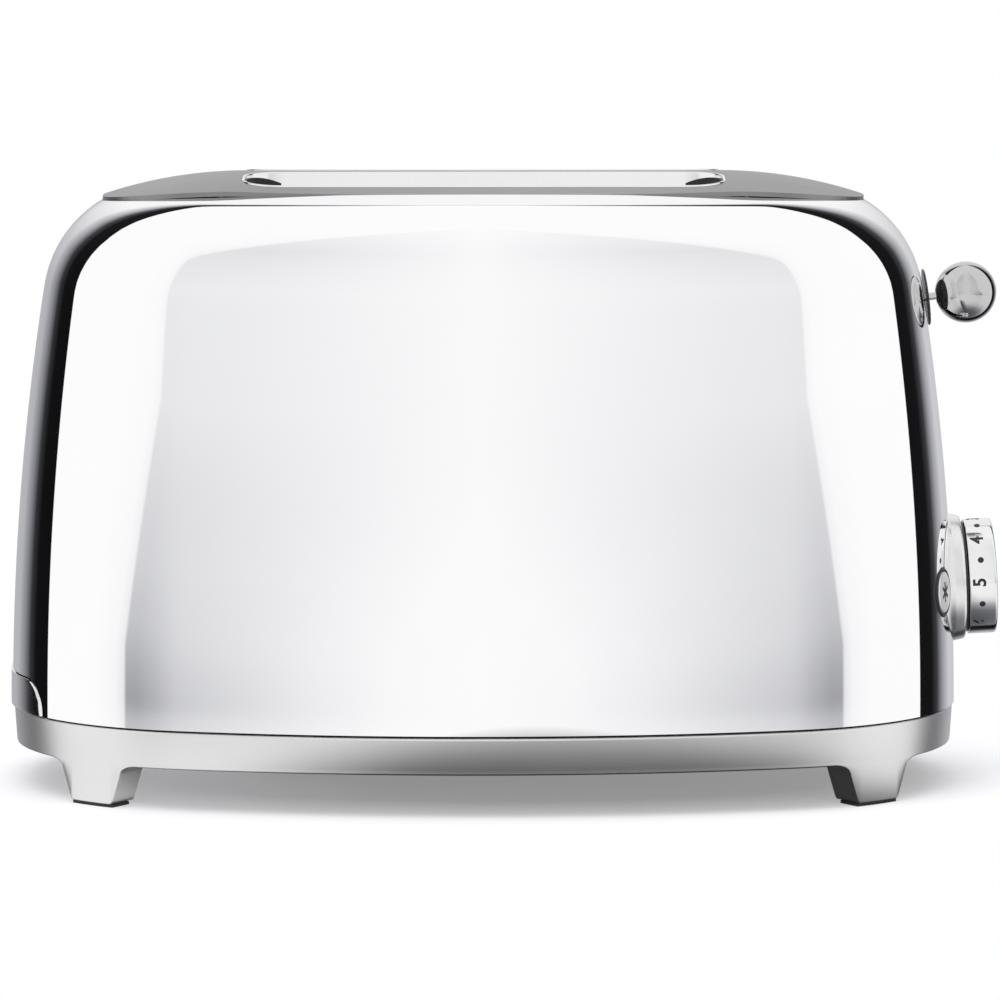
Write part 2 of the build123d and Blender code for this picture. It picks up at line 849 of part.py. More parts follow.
def rod_plane(height, y):
    """A plane square to the guide rods, where a rod's axis passes a height."""
    x = rod_x - (height - rod_mid) * tan(lean)
    return Plane(origin=(x, y, height), x_dir=(0, 1, 0), z_dir=up_slide)


lug_bottom = carriage_high + stop_gap
base_shelf_bottom = base_shelf_top - shelf_thickness
rod_bottom = base_shelf_bottom
rod_top = lug_bottom + shelf_thickness
rod_length = (rod_top - rod_bottom) / cos(lean)
with BuildPart() as guide_rods:
    for side in sides.values():
        with BuildSketch(rod_plane(rod_bottom, side * rod_y)):
            Circle(rod_radius)
        extrude(amount=rod_length)
keep("guide_rods", guide_rods.part)


def rod_holes(height, thickness):
    """The leaning holes for both rods through a level shelf."""
    with BuildPart() as holes:
        for side in sides.values():
            with BuildSketch(rod_plane(height - overcut, side * rod_y)):
                Circle(rod_radius + running_fit)
            extrude(amount=thickness + 2 * overcut)
    return holes.part


shelf_half_width = rod_y + lug_width / 2
with BuildPart() as guide_base:
    with BuildSketch(Plane.XY.offset(base_shelf_bottom)):
        with Locations((chassis_face, 0)):
            shelf_length = base_shelf_reach - chassis_face
            Rectangle(shelf_length, 2 * shelf_half_width, align=(Align.MIN, Align.CENTER))
    extrude(amount=shelf_thickness)
    with BuildSketch(Plane.XY.offset(plate_top)):
        with Locations((chassis_face, 0)):
            Rectangle(shelf_flange, 2 * shelf_half_width, align=(Align.MIN, Align.CENTER))
    extrude(amount=base_shelf_bottom - plate_top)
    add(rod_holes(base_shelf_bottom, shelf_thickness), mode=Mode.SUBTRACT)
keep("guide_base", guide_base.part)

with BuildPart() as guide_lugs:
    with BuildSketch(Plane.XZ) as lug_side:
        with Locations((chassis_face, lug_bottom)):
            Rectangle(rod_x + lug_width / 2 - chassis_face, shelf_thickness, align=(Align.MIN, Align.MIN))
            Rectangle(shelf_flange, lug_flange_height, align=(Align.MIN, Align.MIN))
    for side in sides.values():
        extrude(lug_side.sketch.moved(Location((0, side * rod_y, 0))), amount=lug_width / 2, both=True)
    add(rod_holes(lug_bottom, shelf_thickness), mode=Mode.SUBTRACT)
keep("guide_lugs", guide_lugs.part)

# Carriage: pressed plate with bush blocks, a boss for the lever, a spring tab and an armature tab
lever_plane = Plane(origin=(ball_x, 0, ball_z), x_dir=(0, 1, 0), z_dir=(-cos(lean), 0, -sin(lean)))
boss_start = (ball_x - carriage_face) / cos(lean) - boss_length
armature_bottom = base_shelf_top + core_height + magnet_gap + lean_drop
armature_top = armature_bottom + armature_thickness
armature_x = magnet_x - lean_run
with BuildPart() as carriage:
    with BuildSketch(Plane.YZ.offset(carriage_x)):
        with Locations((0, carriage_low)):
            plate_height = carriage_high - carriage_low
            Rectangle(2 * carriage_half_width, plate_height, align=(Align.CENTER, Align.MIN))
            Rectangle(2 * upright_half_width, upright_top - carriage_low, align=(Align.CENTER, Align.MIN))
    extrude(amount=carriage_sheet)
    block_bottom = (carriage_low + carriage_high - block_height) / 2
    with BuildSketch(Plane.XY.offset(block_bottom)):
        with GridLocations(0, 2 * rod_y, 1, 2):
            with Locations((carriage_face, 0)):
                Rectangle(block_reach, block_width, align=(Align.MIN, Align.CENTER))
    extrude(amount=block_height)
    with BuildSketch(lever_plane.offset(boss_start)):
        Circle(boss_radius)
    extrude(amount=boss_length)
    with BuildSketch(Plane.XY.offset(tab_z)):
        with Locations((carriage_face, -upright_half_width / 2)):
            Rectangle(
                spring_x - carriage_face + spring_seat,
                -spring_y - upright_half_width / 2 + spring_seat,
                align=(Align.MIN, Align.MAX),
            )
    extrude(amount=tab_thickness)
    with BuildSketch(Plane.XY.offset(armature_top)):
        with Locations((carriage_face, 0)):
            armature_reach = armature_x + armature_length / 2 - carriage_face
            Rectangle(armature_reach, armature_depth, align=(Align.MIN, Align.CENTER))
    extrude(amount=tab_thickness)
    with BuildSketch(Plane.YZ.offset(carriage_x)):
        with Locations((0, carriage_low)):
            Rectangle(body_depth, body_height, align=(Align.CENTER, Align.MIN))
    extrude(amount=-overcut, mode=Mode.SUBTRACT)
    with BuildSketch(lever_plane.offset(boss_start - overcut)):
        Circle(shank_radius + running_fit)
    extrude(amount=boss_length + overcut + 2 * carriage_sheet, mode=Mode.SUBTRACT)
    for side in sides.values():
        with BuildSketch(rod_plane(block_bottom - overcut, side * rod_y)):
            Circle(bush_radius)
        extrude(amount=block_height + 2 * overcut, mode=Mode.SUBTRACT)
keep("carriage", carriage.part)

with BuildPart() as carriage_bushes:
    for side in sides.values():
        with BuildSketch(rod_plane(block_bottom, side * rod_y)):
            Circle(bush_radius)
            Circle(rod_radius + running_fit, mode=Mode.SUBTRACT)
        extrude(amount=block_height)
keep("carriage_bushes", carriage_bushes.part)

with BuildPart() as armature:
    with BuildSketch(Plane.XY.offset(armature_bottom)):
        with Locations((armature_x, 0)):
            Rectangle(armature_length, armature_depth)
    extrude(amount=armature_thickness)
keep("armature", armature.part)

# Bread racks: a spine with cross fingers, its tail guided in the far end plate
spine_start = -half_span - chassis_sheet - rack_tail
for name, side in sides.items():
    with BuildPart() as bread_rack:
        with BuildSketch(Plane.XY.offset(rack_rest - rack_spine)):
            with Locations((spine_start, side * slot_y)):
                Rectangle(carriage_x - spine_start, rack_sheet, align=(Align.MIN, Align.CENTER))
        extrude(amount=rack_spine)
        with BuildSketch(Plane.XY.offset(rack_rest)):
            with Locations((0, side * slot_y)):
                Rectangle((rack_fingers - 1) * rack_pitch + rack_finger, rack_sheet)
                with GridLocations(rack_pitch, 0, rack_fingers, 1):
                    Rectangle(rack_finger, rack_width)
        extrude(amount=rack_sheet)
    keep(f"bread_rack_{name}", bread_rack.part)

# Ball knob, turned in one piece with its shank
with BuildPart() as lever_knob:
    with BuildSketch(lever_plane):
        Circle(shank_radius)
    extrude(amount=shank_length)
    with BuildSketch(Plane(origin=lever_plane.origin, x_dir=(0, 1, 0), z_dir=(sin(lean), 0, -cos(lean)))):
        with BuildLine():
            turns = [pi * step / ball_steps for step in range(ball_steps + 1)]
            Polyline(*[(ball_radius * sin(turn), ball_radius * cos(turn)) for turn in turns], close=True)
        make_face()
    revolve(axis=Axis(lever_plane.origin, lever_plane.z_dir))
keep("lever_knob", lever_knob.part)

# Collar: a thin domed disc on the shank, clear of the wall all the way down
wall_bow = lever_travel**2 / (8 * wall_radius)
collar_back = (ball_x - wall_x(shank_z)) / cos(lean) - wall_bow - collar_gap
with BuildPart() as lever_collar:
    with BuildSketch(lever_plane.offset(collar_back)):
        Circle(collar_radius)
        Circle(shank_radius + running_fit, mode=Mode.SUBTRACT)
    extrude(amount=-collar_thickness)
keep("lever_collar", lever_collar.part)

# Return spring, an open coil of square wire, and the bracket that holds its upper end
coil_bottom = tab_z + tab_thickness
coil_length = bracket_z - coil_bottom
with BuildPart() as carriage_spring:
    steps = spring_turns * spring_steps
    with BuildLine() as coil_path:
        points = []
        for step in range(steps + 1):
            angle = 2 * pi * step / spring_steps
            rise = spring_wire / 2 + (coil_length - spring_wire) * step / steps
            x = spring_x + spring_radius * cos(angle)
            points.append((x, spring_y + spring_radius * sin(angle), coil_bottom + rise))
        Polyline(*points)
    with BuildSketch(Plane(origin=coil_path.line @ 0, z_dir=coil_path.line % 0, x_dir=(1, 0, 0))):
        Rectangle(spring_wire, spring_wire)
    sweep(path=coil_path.line, transition=Transition.RIGHT)
keep("carriage_spring", carriage_spring.part)

with BuildPart() as spring_bracket:
    with BuildSketch(Plane.XZ.offset(-spring_y)):
        with Locations((chassis_face, bracket_z)):
            Rectangle(spring_x + spring_seat - chassis_face, tab_thickness, align=(Align.MIN, Align.MIN))
            Rectangle(shelf_flange, bracket_height, align=(Align.MIN, Align.MIN))
    extrude(amount=lug_width / 2, both=True)
keep("spring_bracket", spring_bracket.part)

# Holding magnet: iron core with a coil round it
with BuildPart() as magnet_core:
    with BuildSketch(Plane.XY.offset(base_shelf_top)):
        with Locations((magnet_x, 0)):
            Rectangle(core_width, core_depth)
    extrude(amount=core_height)
keep("magnet_core", magnet_core.part)

with BuildPart() as magnet_coil:
    with BuildSketch(Plane.XY.offset(base_shelf_top)):
        with Locations((magnet_x, 0)):
            RectangleRounded(core_width + 2 * coil_wall, core_depth + 2 * coil_wall, coil_wall / 2)
            Rectangle(core_width, core_depth, mode=Mode.SUBTRACT)
    extrude(amount=coil_height)
keep("magnet_coil", magnet_coil.part)

# Control board on its bracket, parallel to the dial
board_lean = radians(wall_lean(dial_height))


def board_x(depth, height):
    """Where a plane parallel to the dial stands at a height."""
    return dial_plane.origin.X - depth / cos(board_lean) - (height - dial_height) * tan(board_lean)


board_back = board_depth + board_thickness
with BuildPart() as control_bracket:
    with BuildSketch(Plane.XZ):
        with BuildLine():
            back_depth = board_back + bracket_thickness
            Polyline(
                (board_x(board_back, plate_top), plate_top),
                (board_x(board_back, board_top), board_top),
                (board_x(back_depth, board_top), board_top),
                (board_x(back_depth, plate_top + bracket_thickness), plate_top + bracket_thickness),
                (board_x(back_depth, plate_top) - bracket_foot, plate_top + bracket_thickness),
                (board_x(back_depth, plate_top) - bracket_foot, plate_top),
                close=True,
            )
        make_face()
    extrude(amount=board_half_width, both=True)
keep("control_bracket", control_bracket.part)

with BuildPart() as control_board:
    with BuildSketch(dial_plane.offset(-board_back)):
        with Locations((0, (board_top + board_bottom) / 2 - dial_height)):
            Rectangle(2 * board_half_width, board_top - board_bottom)
    extrude(amount=board_thickness)
keep("control_board", control_board.part)

with BuildPart() as dial_potentiometer:
    with BuildSketch(dial_plane.offset(-board_depth)):
        Rectangle(potentiometer_size, potentiometer_size)
        Circle(shaft_radius + running_fit, mode=Mode.SUBTRACT)
    extrude(amount=potentiometer_depth)
keep("dial_potentiometer", dial_potentiometer.part)

# Dial bezel: a tapered ring through the wall, with a flange behind it, and a dark ring in its mouth
with BuildPart() as dial_bezel:
    with BuildSketch(dial_plane.offset(-bezel_back)):
        RegularPolygon(bezel_flange, bezel_flange_sides)
    extrude(amount=bezel_flange_thickness)
    with BuildSketch(dial_plane.offset(-bezel_back)):
        Circle(bezel_radius)
    extrude(amount=bezel_back)
    taper = degrees(asin((bezel_radius - bezel_front_radius) / bezel_front))
    with BuildSketch(dial_plane):
        Circle(bezel_radius)
    extrude(amount=bezel_front, taper=taper)
    with BuildSketch(dial_plane.offset(-bezel_back)):
        Circle(bezel_radius - bezel_wall)
    extrude(amount=bezel_back + bezel_front, mode=Mode.SUBTRACT)
keep("dial_bezel", dial_bezel.part)

gasket_front = dial_start - hole_gap
with BuildPart() as dial_gasket:
    with BuildSketch(dial_plane.offset(bezel_front)):
        Circle(gasket_radius)
        Circle(gasket_hub, mode=Mode.SUBTRACT)
    extrude(amount=gasket_front - bezel_front)
keep("dial_gasket", dial_gasket.part)

# Dial knob: a cup with a rounded edge and a boss on its shaft
shaft_seat = dial_front - 2 * dial_wall
with BuildPart() as dial_knob:
    with BuildSketch(dial_plane.offset(dial_start)):
        Circle(dial_radius)
    extrude(amount=dial_front - dial_start)
    outward = Axis(dial_plane.origin, dial_plane.z_dir)
    chamfer(dial_knob.faces().filter_by(GeomType.PLANE).sort_by(outward)[-1].edges(), length=dial_edge)
    with BuildSketch(dial_plane.offset(dial_start)):
        Circle(dial_radius - dial_wall)
        Circle(dial_boss, mode=Mode.SUBTRACT)
    extrude(amount=dial_front - dial_wall - dial_start, mode=Mode.SUBTRACT)
    with BuildSketch(dial_plane.offset(dial_start)):
        Circle(shaft_radius)
    extrude(amount=shaft_seat - dial_start, mode=Mode.SUBTRACT)
keep("dial_knob", dial_knob.part)

with BuildPart() as dial_shaft:
    with BuildSketch(dial_plane.offset(-board_depth + stop_gap)):
        Circle(shaft_radius)
    extrude(amount=board_depth - stop_gap + shaft_seat)
keep("dial_shaft", dial_shaft.part)

# Button rings, the buttons in them and the switches behind
with BuildPart() as button_rings:
    for side in sides.values():
        plane = button_plane(side)
        with BuildSketch(plane.offset(-ring_back)):
            Circle(ring_radius)
            Circle(ring_radius - ring_wall, mode=Mode.SUBTRACT)
        extrude(amount=ring_back + ring_proud)
        with BuildSketch(plane.offset(-ring_back)):
            RegularPolygon(ring_flange, ring_flange_sides)
            Circle(ring_radius - ring_wall, mode=Mode.SUBTRACT)
        extrude(amount=ring_flange_thickness)
keep("button_rings", button_rings.part)

with BuildPart() as button_switches:
    for side in sides.values():
        with BuildSketch(button_plane(side).offset(-switch_depth)):
            Rectangle(switch_size, switch_size)
        extrude(amount=-board_depth)
    with BuildSketch(dial_plane.offset(-board_depth)):
        Rectangle(4 * board_half_width, 4 * board_half_width)
    extrude(amount=-2 * board_depth, mode=Mode.SUBTRACT)
keep("button_switches", button_switches.part)

for name, side in sides.items():
    with BuildPart() as button:
        plane = button_plane(side)
        with BuildSketch(plane.offset(-ring_back + button_travel)):
            Circle(button_radius)
        extrude(amount=ring_back - button_travel + button_proud)
        with BuildSketch(plane.offset(-switch_depth + button_travel + switch_clearance)):
            Circle(button_stem)
        extrude(amount=switch_depth - ring_back - switch_clearance)
    keep(f"button_{name}", button.part)

# Crumb tray: a shallow pan that ends against its handle, and the rails it runs on
with BuildPart() as crumb_tray:
    with BuildSketch(Plane.XY.offset(tray_floor)):
        with Locations((tray_end, 0)):
            Rectangle(tray_end + half_length, 2 * tray_half_width, align=(Align.MAX, Align.CENTER))
    extrude(amount=tray_rim)
    trim = wall_profile(*skin_span, -shoulder / 2, tab_inner)
    add(around_body(trim), mode=Mode.SUBTRACT)
    with BuildSketch(Plane.XY.offset(tray_floor + tray_sheet)):
        with Locations((tray_end - tray_sheet, 0)):
            Rectangle(
                tray_end + half_length - shoulder / 2,
                2 * (tray_half_width - tray_sheet),
                align=(Align.MAX, Align.CENTER),
            )
    extrude(amount=tray_rim, mode=Mode.SUBTRACT)
keep("crumb_tray", crumb_tray.part)

with BuildPart() as tray_handle:
    add(tray_tab(0, -half_length - overcut, shoulder))
    with BuildSketch(Plane.XY.offset(shell_bottom)):
        Rectangle(2 * body_length, body_depth)
    extrude(amount=-clear_height, mode=Mode.SUBTRACT)
    skin = wall_profile(*skin_span, -tab_proud, tab_inner)
    add(around_body(skin), mode=Mode.INTERSECT)
keep("tray_handle", tray_handle.part)

with BuildPart() as tray_rails:
    with BuildSketch(Plane.YZ.offset(-rail_reach)):
        for side in sides.values():
            rail_y = side * (chassis_depth / 2 - chassis_leg)
            align_out = Align.MAX if side > 0 else Align.MIN
            with Locations((rail_y, rail_top)):
                Rectangle(rail_sheet, rail_height, align=(align_out, Align.MIN))
                lip_width = chassis_depth / 2 - chassis_leg - tray_half_width + rail_lip
                Rectangle(lip_width, rail_sheet, align=(align_out, Align.MAX))
    extrude(amount=rail_reach + half_span)
keep("tray_rails", tray_rails.part)

# Set the toaster down with the origin on the table, under its middle
whole = Compound(pieces.values()).bounding_box()
set_down = Location((-whole.center().X, -whole.center().Y, -whole.min.Z))
print("size", [round(length, 2) for length in whole.size], "moved", set_down.position)
for name, part in pieces.items():
    placed = part.moved(set_down)
    placed.label = name
    export_step(placed, f"parts/{name}.step")
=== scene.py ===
import json
from math import asin, atan2, ceil, cos, degrees, hypot, pi, radians, sin, sqrt, tan

import bmesh
import bpy
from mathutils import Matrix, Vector


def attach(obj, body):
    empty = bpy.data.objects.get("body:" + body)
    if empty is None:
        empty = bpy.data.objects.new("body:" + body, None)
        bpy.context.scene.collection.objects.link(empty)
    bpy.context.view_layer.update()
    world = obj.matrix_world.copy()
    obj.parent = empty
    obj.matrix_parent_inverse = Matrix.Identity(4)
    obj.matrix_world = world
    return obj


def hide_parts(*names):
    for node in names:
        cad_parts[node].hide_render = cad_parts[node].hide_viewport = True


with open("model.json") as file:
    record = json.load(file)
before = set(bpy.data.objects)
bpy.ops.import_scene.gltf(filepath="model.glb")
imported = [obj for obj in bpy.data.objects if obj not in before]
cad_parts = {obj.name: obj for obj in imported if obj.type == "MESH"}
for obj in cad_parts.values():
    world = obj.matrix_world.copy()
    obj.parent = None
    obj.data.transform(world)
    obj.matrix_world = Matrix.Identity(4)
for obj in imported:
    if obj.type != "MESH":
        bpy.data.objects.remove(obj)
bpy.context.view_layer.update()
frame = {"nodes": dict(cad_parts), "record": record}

# Sizes of the toaster in millimetres, about the middle of its body
middle_shift = -6.82794
floor_lift = 1.6

# Outlines seen from above: half length, half depth, and the radii of the front, the corners and the ends
body_shape = (155.6, 97.5, 360.0, 78.0, 190.0)
panel_shape = (125.0, 55.0, 560.0, 44.0, 96.0)

# Shell: its wall bulges on a large arc, and a smaller arc turns it over into the top
widest_height = 21.0
wall_bulge = 880.0
shoulder = 39.0
shoulder_top = 194.8
shell_bottom = 24.9
sheet = 1.0
skin_inset = 0.06
shell_rows = 56
shell_step = 3.6
dial_tool_depth = 19.5
button_tool_depth = 9.7

# Domed top panel
body_height = 198.6
top_half_flat = 78.0
top_end_bend = 150.0
top_cross_bend = 302.0
panel_thickness = 1.5
panel_gap = 0.4
panel_reach = (128, 58)
panel_squares = (80, 36)
panel_tool_low = 150
panel_tool_high = 230

# Bread slots, their rims, and black liners at their ends that paint the shade inside the slots
slot_length = 155.0
slot_width = 32.0
slot_y = 25.0
slot_corner = 12.0
rim_wall = 1.0
rim_rise = 0.4
rim_roll = 0.5
rim_depth = 22.0
rim_step = 6
end_shade_start = 66
end_shade_gap = 0.4
end_shade_fall = 1.3
end_shade_bend = 2.2
end_shade_wall = 0.3

# Cast band and its feet; the angles go round the body's corner, in degrees
foot_height = 12.2
band_top = 24.4
band_inset = 0.6
band_wall = 4.0
band_draft = 0.8
band_draft_low = 14.0
band_round = 1.1
band_edge = band_inset + band_draft
ledge_top = 18.4
ledge_low = 16.4
ledge_inset = 9.6
foot_bottom = -0.6
foot_waist = 9.0
foot_waist_share = 0.34
foot_depth = 12.0
foot_flare = 2.6
foot_round = 0.8
edge_round = 0.5
foot_low_angles = (43.1, 56.2)
foot_top_angles = (34.0, 63.5)

# Tab of the crumb tray
tab_half_width = 50.0
tab_top = 36.0
tab_corner = 10.6
tab_gap = 0.4
tab_proud = 0.44
tab_depth = 1.4
tab_rows = 8
tab_only_past = -130

# Lever: a ball on a shank, sliding in a leaning slot
slide_lean = radians(7.2)
lever_travel = 51.6
ball_place = (159.1, 0.0, 158.7)
ball_radius = 10.1
ball_neck = 2.6
ball_steps = 48
shank_radius = 1.2
shank_end = -60.4
lever_slot_half_width = 2.8
lever_slot_end_gap = 2.2
collar_bore = 1.25

# Dial; heights are measured outwards from the wall
dial_height = 64.0
dial_opening = 21.35
bezel_bore = 17.85
bezel_radius = 21.05
bezel_proud = 4.0
knob_radius = 19.0
knob_low = 5.1
knob_face = 14.0
number_size = 5.9
number_weight = 0.17
number_height = 8.3

# Buttons; their outward heights too are measured from the wall
button_height = 63.2
button_y = 35.0
button_opening = 8.2
cap_radius = 6.7
cap_proud = 0.6
ring_bore = 7.0
ring_radius = 9.6

# Bread guards
guard_away = 14.5
rail_offset = 1.1

sides = (("front", -1), ("back", 1))


def to_frame(point):
    """A point in millimetres about the body, as metres in the row frame."""
    return ((point[0] + middle_shift) / 1000, point[1] / 1000, (point[2] + floor_lift) / 1000)


def drop_of_arc(radius, distance):
    return radius - sqrt(radius * radius - distance * distance)


def wall_drop(height):
    """How far the wall has drawn in at a height."""
    return drop_of_arc(wall_bulge, height - widest_height)


def wall_x(height):
    return body_shape[0] - wall_drop(height)


# Nodes: small helpers for the materials, the studio and the wires

def feed(tree, socket, value):
    """Give a socket a plain value, or a link from another socket."""
    if isinstance(value, bpy.types.NodeSocket):
        tree.links.new(value, socket)
    else:
        socket.default_value = value


def new_node(tree, kind, inputs=None, **settings):
    """A node with its settings, and what its inputs get, by name or number."""
    node = tree.nodes.new(kind)
    for name, value in settings.items():
        setattr(node, name, value)
    for key, value in (inputs or {}).items():
        feed(tree, node.inputs[key], value)
    return node


def maths(tree, operation, *values):
    return new_node(tree, "ShaderNodeMath", dict(enumerate(values)), operation=operation).outputs[0]


def joined_xyz(tree, x=0.0, y=0.0, z=0.0):
    return new_node(tree, "ShaderNodeCombineXYZ", {0: x, 1: y, 2: z}).outputs[0]


def mixed_shader(tree, share, first, second):
    return new_node(tree, "ShaderNodeMixShader", {0: share, 1: first, 2: second}).outputs[0]


def group_sockets(tree, inputs, outputs):
    for label, kind, value in inputs:
        socket = tree.interface.new_socket(label, in_out="INPUT", socket_type=kind)
        if value is not None:
            socket.default_value = value
    for label, kind in outputs:
        tree.interface.new_socket(label, in_out="OUTPUT", socket_type=kind)


def colour(tone):
    """A colour from three levels, or from one level of grey."""
    return (*tone, 1) if isinstance(tone, tuple) else (tone, tone, tone, 1)


# Materials: one shared group, and a finish for each kind of surface

def finish_group():
    """Blotches of tone and shine, and a fine grain that can be drawn out along one direction."""
    tree = bpy.data.node_groups.new("metal_finish", "ShaderNodeTree")
    kinds = {"Tone": "Color", "Dark Tone": "Color", "Grain Stretch": "Vector", "Blotch Scale": "Float",
             "Grain Scale": "Float", "Shine": "Float", "Shine Range": "Float"}
    group_sockets(tree, [(label, f"NodeSocket{kind}", None) for label, kind in kinds.items()],
                  [("Colour", "NodeSocketColor"), ("Roughness", "NodeSocketFloat"), ("Height", "NodeSocketFloat")])
    given = tree.nodes.new("NodeGroupInput").outputs
    place = tree.nodes.new("ShaderNodeTexCoord").outputs["Object"]
    blotch = new_node(tree, "ShaderNodeTexNoise", {"Vector": place, "Scale": given["Blotch Scale"], "Detail": 4})
    spread = new_node(tree, "ShaderNodeMapRange", {
        "Value": blotch.outputs["Fac"], "From Min": 0.35, "From Max": 0.65})
    stretch = new_node(tree, "ShaderNodeVectorMath", {0: place, 1: given["Grain Stretch"]}, operation="MULTIPLY")
    grain = new_node(tree, "ShaderNodeTexNoise", {
        "Vector": stretch.outputs["Vector"], "Scale": given["Grain Scale"], "Detail": 3}).outputs["Fac"]
    wear = maths(tree, "MULTIPLY_ADD", spread.outputs["Result"], 0.5, maths(tree, "MULTIPLY", grain, 0.5))
    tone = new_node(tree, "ShaderNodeMix", {
        "Factor": wear, "A": given["Tone"], "B": given["Dark Tone"]}, data_type="RGBA")
    new_node(tree, "NodeGroupOutput", {
        "Colour": tone.outputs["Result"], "Height": grain,
        "Roughness": maths(tree, "MULTIPLY_ADD", wear, given["Shine Range"], given["Shine"])})
    return tree


metal_finish = finish_group()
finishes = {}


def add_finish(name, tone, dark, metallic, shine, shine_range, blotch=30.0, grain=900.0, stretch=(1, 1, 1),
               bump=0.1, bump_distance=0.00005, coat=0.0, coat_rough=0.1, anisotropy=0.0, specular=0.5):
    """A finish with its own tones, shine and grain, from the shared group."""
    material = bpy.data.materials.new(name)
    material.use_nodes = True
    tree = material.node_tree
    group = new_node(tree, "ShaderNodeGroup", {
        "Tone": colour(tone), "Dark Tone": colour(dark), "Blotch Scale": blotch, "Grain Stretch": stretch,
        "Grain Scale": grain, "Shine": shine, "Shine Range": shine_range}, node_tree=metal_finish)
    relief = new_node(tree, "ShaderNodeBump", {
        "Strength": bump, "Distance": bump_distance, "Height": group.outputs["Height"]})
    shader = tree.nodes["Principled BSDF"]
    for label, value in (("Metallic", metallic), ("Coat Weight", coat), ("Coat Roughness", coat_rough),
                         ("Anisotropic", anisotropy), ("Specular IOR Level", specular),
                         ("Base Color", group.outputs["Colour"]), ("Roughness", group.outputs["Roughness"]),
                         ("Normal", relief.outputs["Normal"])):
        feed(tree, shader.inputs[label], value)
    finishes[name] = material


add_finish("polished_shell", (0.985, 0.985, 0.99), (0.96, 0.96, 0.972), 1, 0.012, 0.02, 9, 60,
           bump=0.015, bump_distance=0.0002)
add_finish("satin_cast", 0.88, 0.8, 1, 0.3, 0.08, 14, 1800)
add_finish("satin_panel", 0.3, 0.25, 1, 0.3, 0.08, 10, 1500, (0.03, 1, 1), bump=0.2, anisotropy=0.4)
add_finish("bright_rim", 0.9, 0.84, 1, 0.05, 0.08, 20, 600, bump=0.05)
add_finish("tray_metal", 0.9, 0.84, 1, 0.1, 0.06, 18, 1600, (1, 0.05, 1), bump=0.05)
add_finish("bezel_metal", 0.88, 0.8, 1, 0.24, 0.06, 25, 1500, (0.1, 1, 1), bump=0.12)
add_finish("knob_metal", 0.9, 0.84, 1, 0.06, 0.05, 30, 800, bump=0.04)
# The ball's chrome is toned darker than the knob's chrome: a painted dark reflection.
add_finish("ball_metal_painted_reflection", 0.64, 0.52, 1, 0.05, 0.05, 30, 800, bump=0.04)
# The chrome collar is given a near-black, non-metal tone: a painted dark reflection.
add_finish("collar_painted_dark_reflection", 0.04, 0.03, 0, 0.2, 0.06, 30, 800, bump=0.02, specular=0.3)
add_finish("button_metal", 0.86, 0.8, 0.6, 0.3, 0.08, 60, 1800)
add_finish("black_plastic", 0.022, 0.03, 0, 0.42, 0.12, 40, 2200, bump=0.25)
add_finish("rubber", 0.03, 0.045, 0, 0.75, 0.15, 60, 1600, bump=0.4)
add_finish("zinc_sheet", (0.6, 0.61, 0.63), (0.5, 0.51, 0.53), 1, 0.32, 0.16, 45, 260, bump=0.12)
add_finish("guide_steel", 0.68, 0.6, 1, 0.2, 0.1, 30, 1500, (1, 1, 0.06), bump=0.15)
add_finish("bush_brass", (0.74, 0.56, 0.28), (0.6, 0.44, 0.2), 1, 0.28, 0.12, 60, 1200)
add_finish("coil_copper", (0.6, 0.26, 0.1), (0.45, 0.18, 0.07), 1, 0.3, 0.1, 60, 900, (1, 1, 8), bump=0.6)
add_finish("heat_shield", 0.8, 0.7, 1, 0.2, 0.12, 16, 1500, (0.05, 1, 1), bump=0.2)
add_finish("mica", (0.6, 0.53, 0.4), (0.44, 0.37, 0.27), 0, 0.5, 0.2, 25, 300, (1, 1, 3), bump=0.4)
add_finish("heater_ribbon", (0.34, 0.31, 0.3), (0.2, 0.18, 0.18), 1, 0.4, 0.15, 80, 900)
add_finish("guard_wire", 0.62, (0.46, 0.44, 0.42), 1, 0.26, 0.12, 25, 1200, (1, 1, 0.1))
add_finish("rack_steel", (0.56, 0.55, 0.54), (0.42, 0.4, 0.38), 1, 0.3, 0.12, 25, 1200, (0.1, 1, 1))
add_finish("board_green", (0.04, 0.2, 0.09), (0.03, 0.15, 0.07), 0, 0.3, 0.1, 40, 500, coat=0.5)
add_finish("terminal_cream", (0.8, 0.76, 0.66), (0.74, 0.69, 0.58), 0, 0.45, 0.1, 60, 700)
add_finish("dial_print", 0.012, 0.02, 0, 0.45, 0.1, 120, 2500)


# Meshes: small helpers

def new_piece(name, points, faces, gap=0.000002):
    """A clean closed mesh from points in millimetres about the body."""
    mesh = bpy.data.meshes.new(name)
    mesh.from_pydata([to_frame(point) for point in points], [], faces)
    mesh.update()
    piece = bpy.data.objects.new(name, mesh)
    bpy.context.scene.collection.objects.link(piece)
    return clean_mesh(dress(piece), gap)


def clean_mesh(piece, gap=0.000002):
    """Merge doubled points, drop flat faces and turn every face outwards."""
    work = bmesh.new()
    work.from_mesh(piece.data)
    bmesh.ops.remove_doubles(work, verts=work.verts, dist=gap)
    bmesh.ops.dissolve_degenerate(work, edges=work.edges, dist=gap)
    bmesh.ops.recalc_face_normals(work, faces=work.faces)
    work.to_mesh(piece.data)
    work.free()
    return piece


def dress(piece, finish=None, body=None, angle=32):
    """Smooth shading up to an angle, a finish, and the body that the piece rides on."""
    mesh = piece.data
    if finish:
        mesh.materials.clear()
        mesh.materials.append(finishes[finish])
    for face in mesh.polygons:
        face.use_smooth = True
    mesh.set_sharp_from_angle(angle=radians(angle))
    if body:
        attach(piece, body)
    return piece


def settled(piece):
    """The piece with its modifiers worked into its mesh."""
    bpy.context.view_layer.update()
    graph = bpy.context.evaluated_depsgraph_get()
    mesh = bpy.data.meshes.new_from_object(piece.evaluated_get(graph))
    piece.modifiers.clear()
    old = piece.data
    piece.data = mesh
    bpy.data.meshes.remove(old)
    return piece


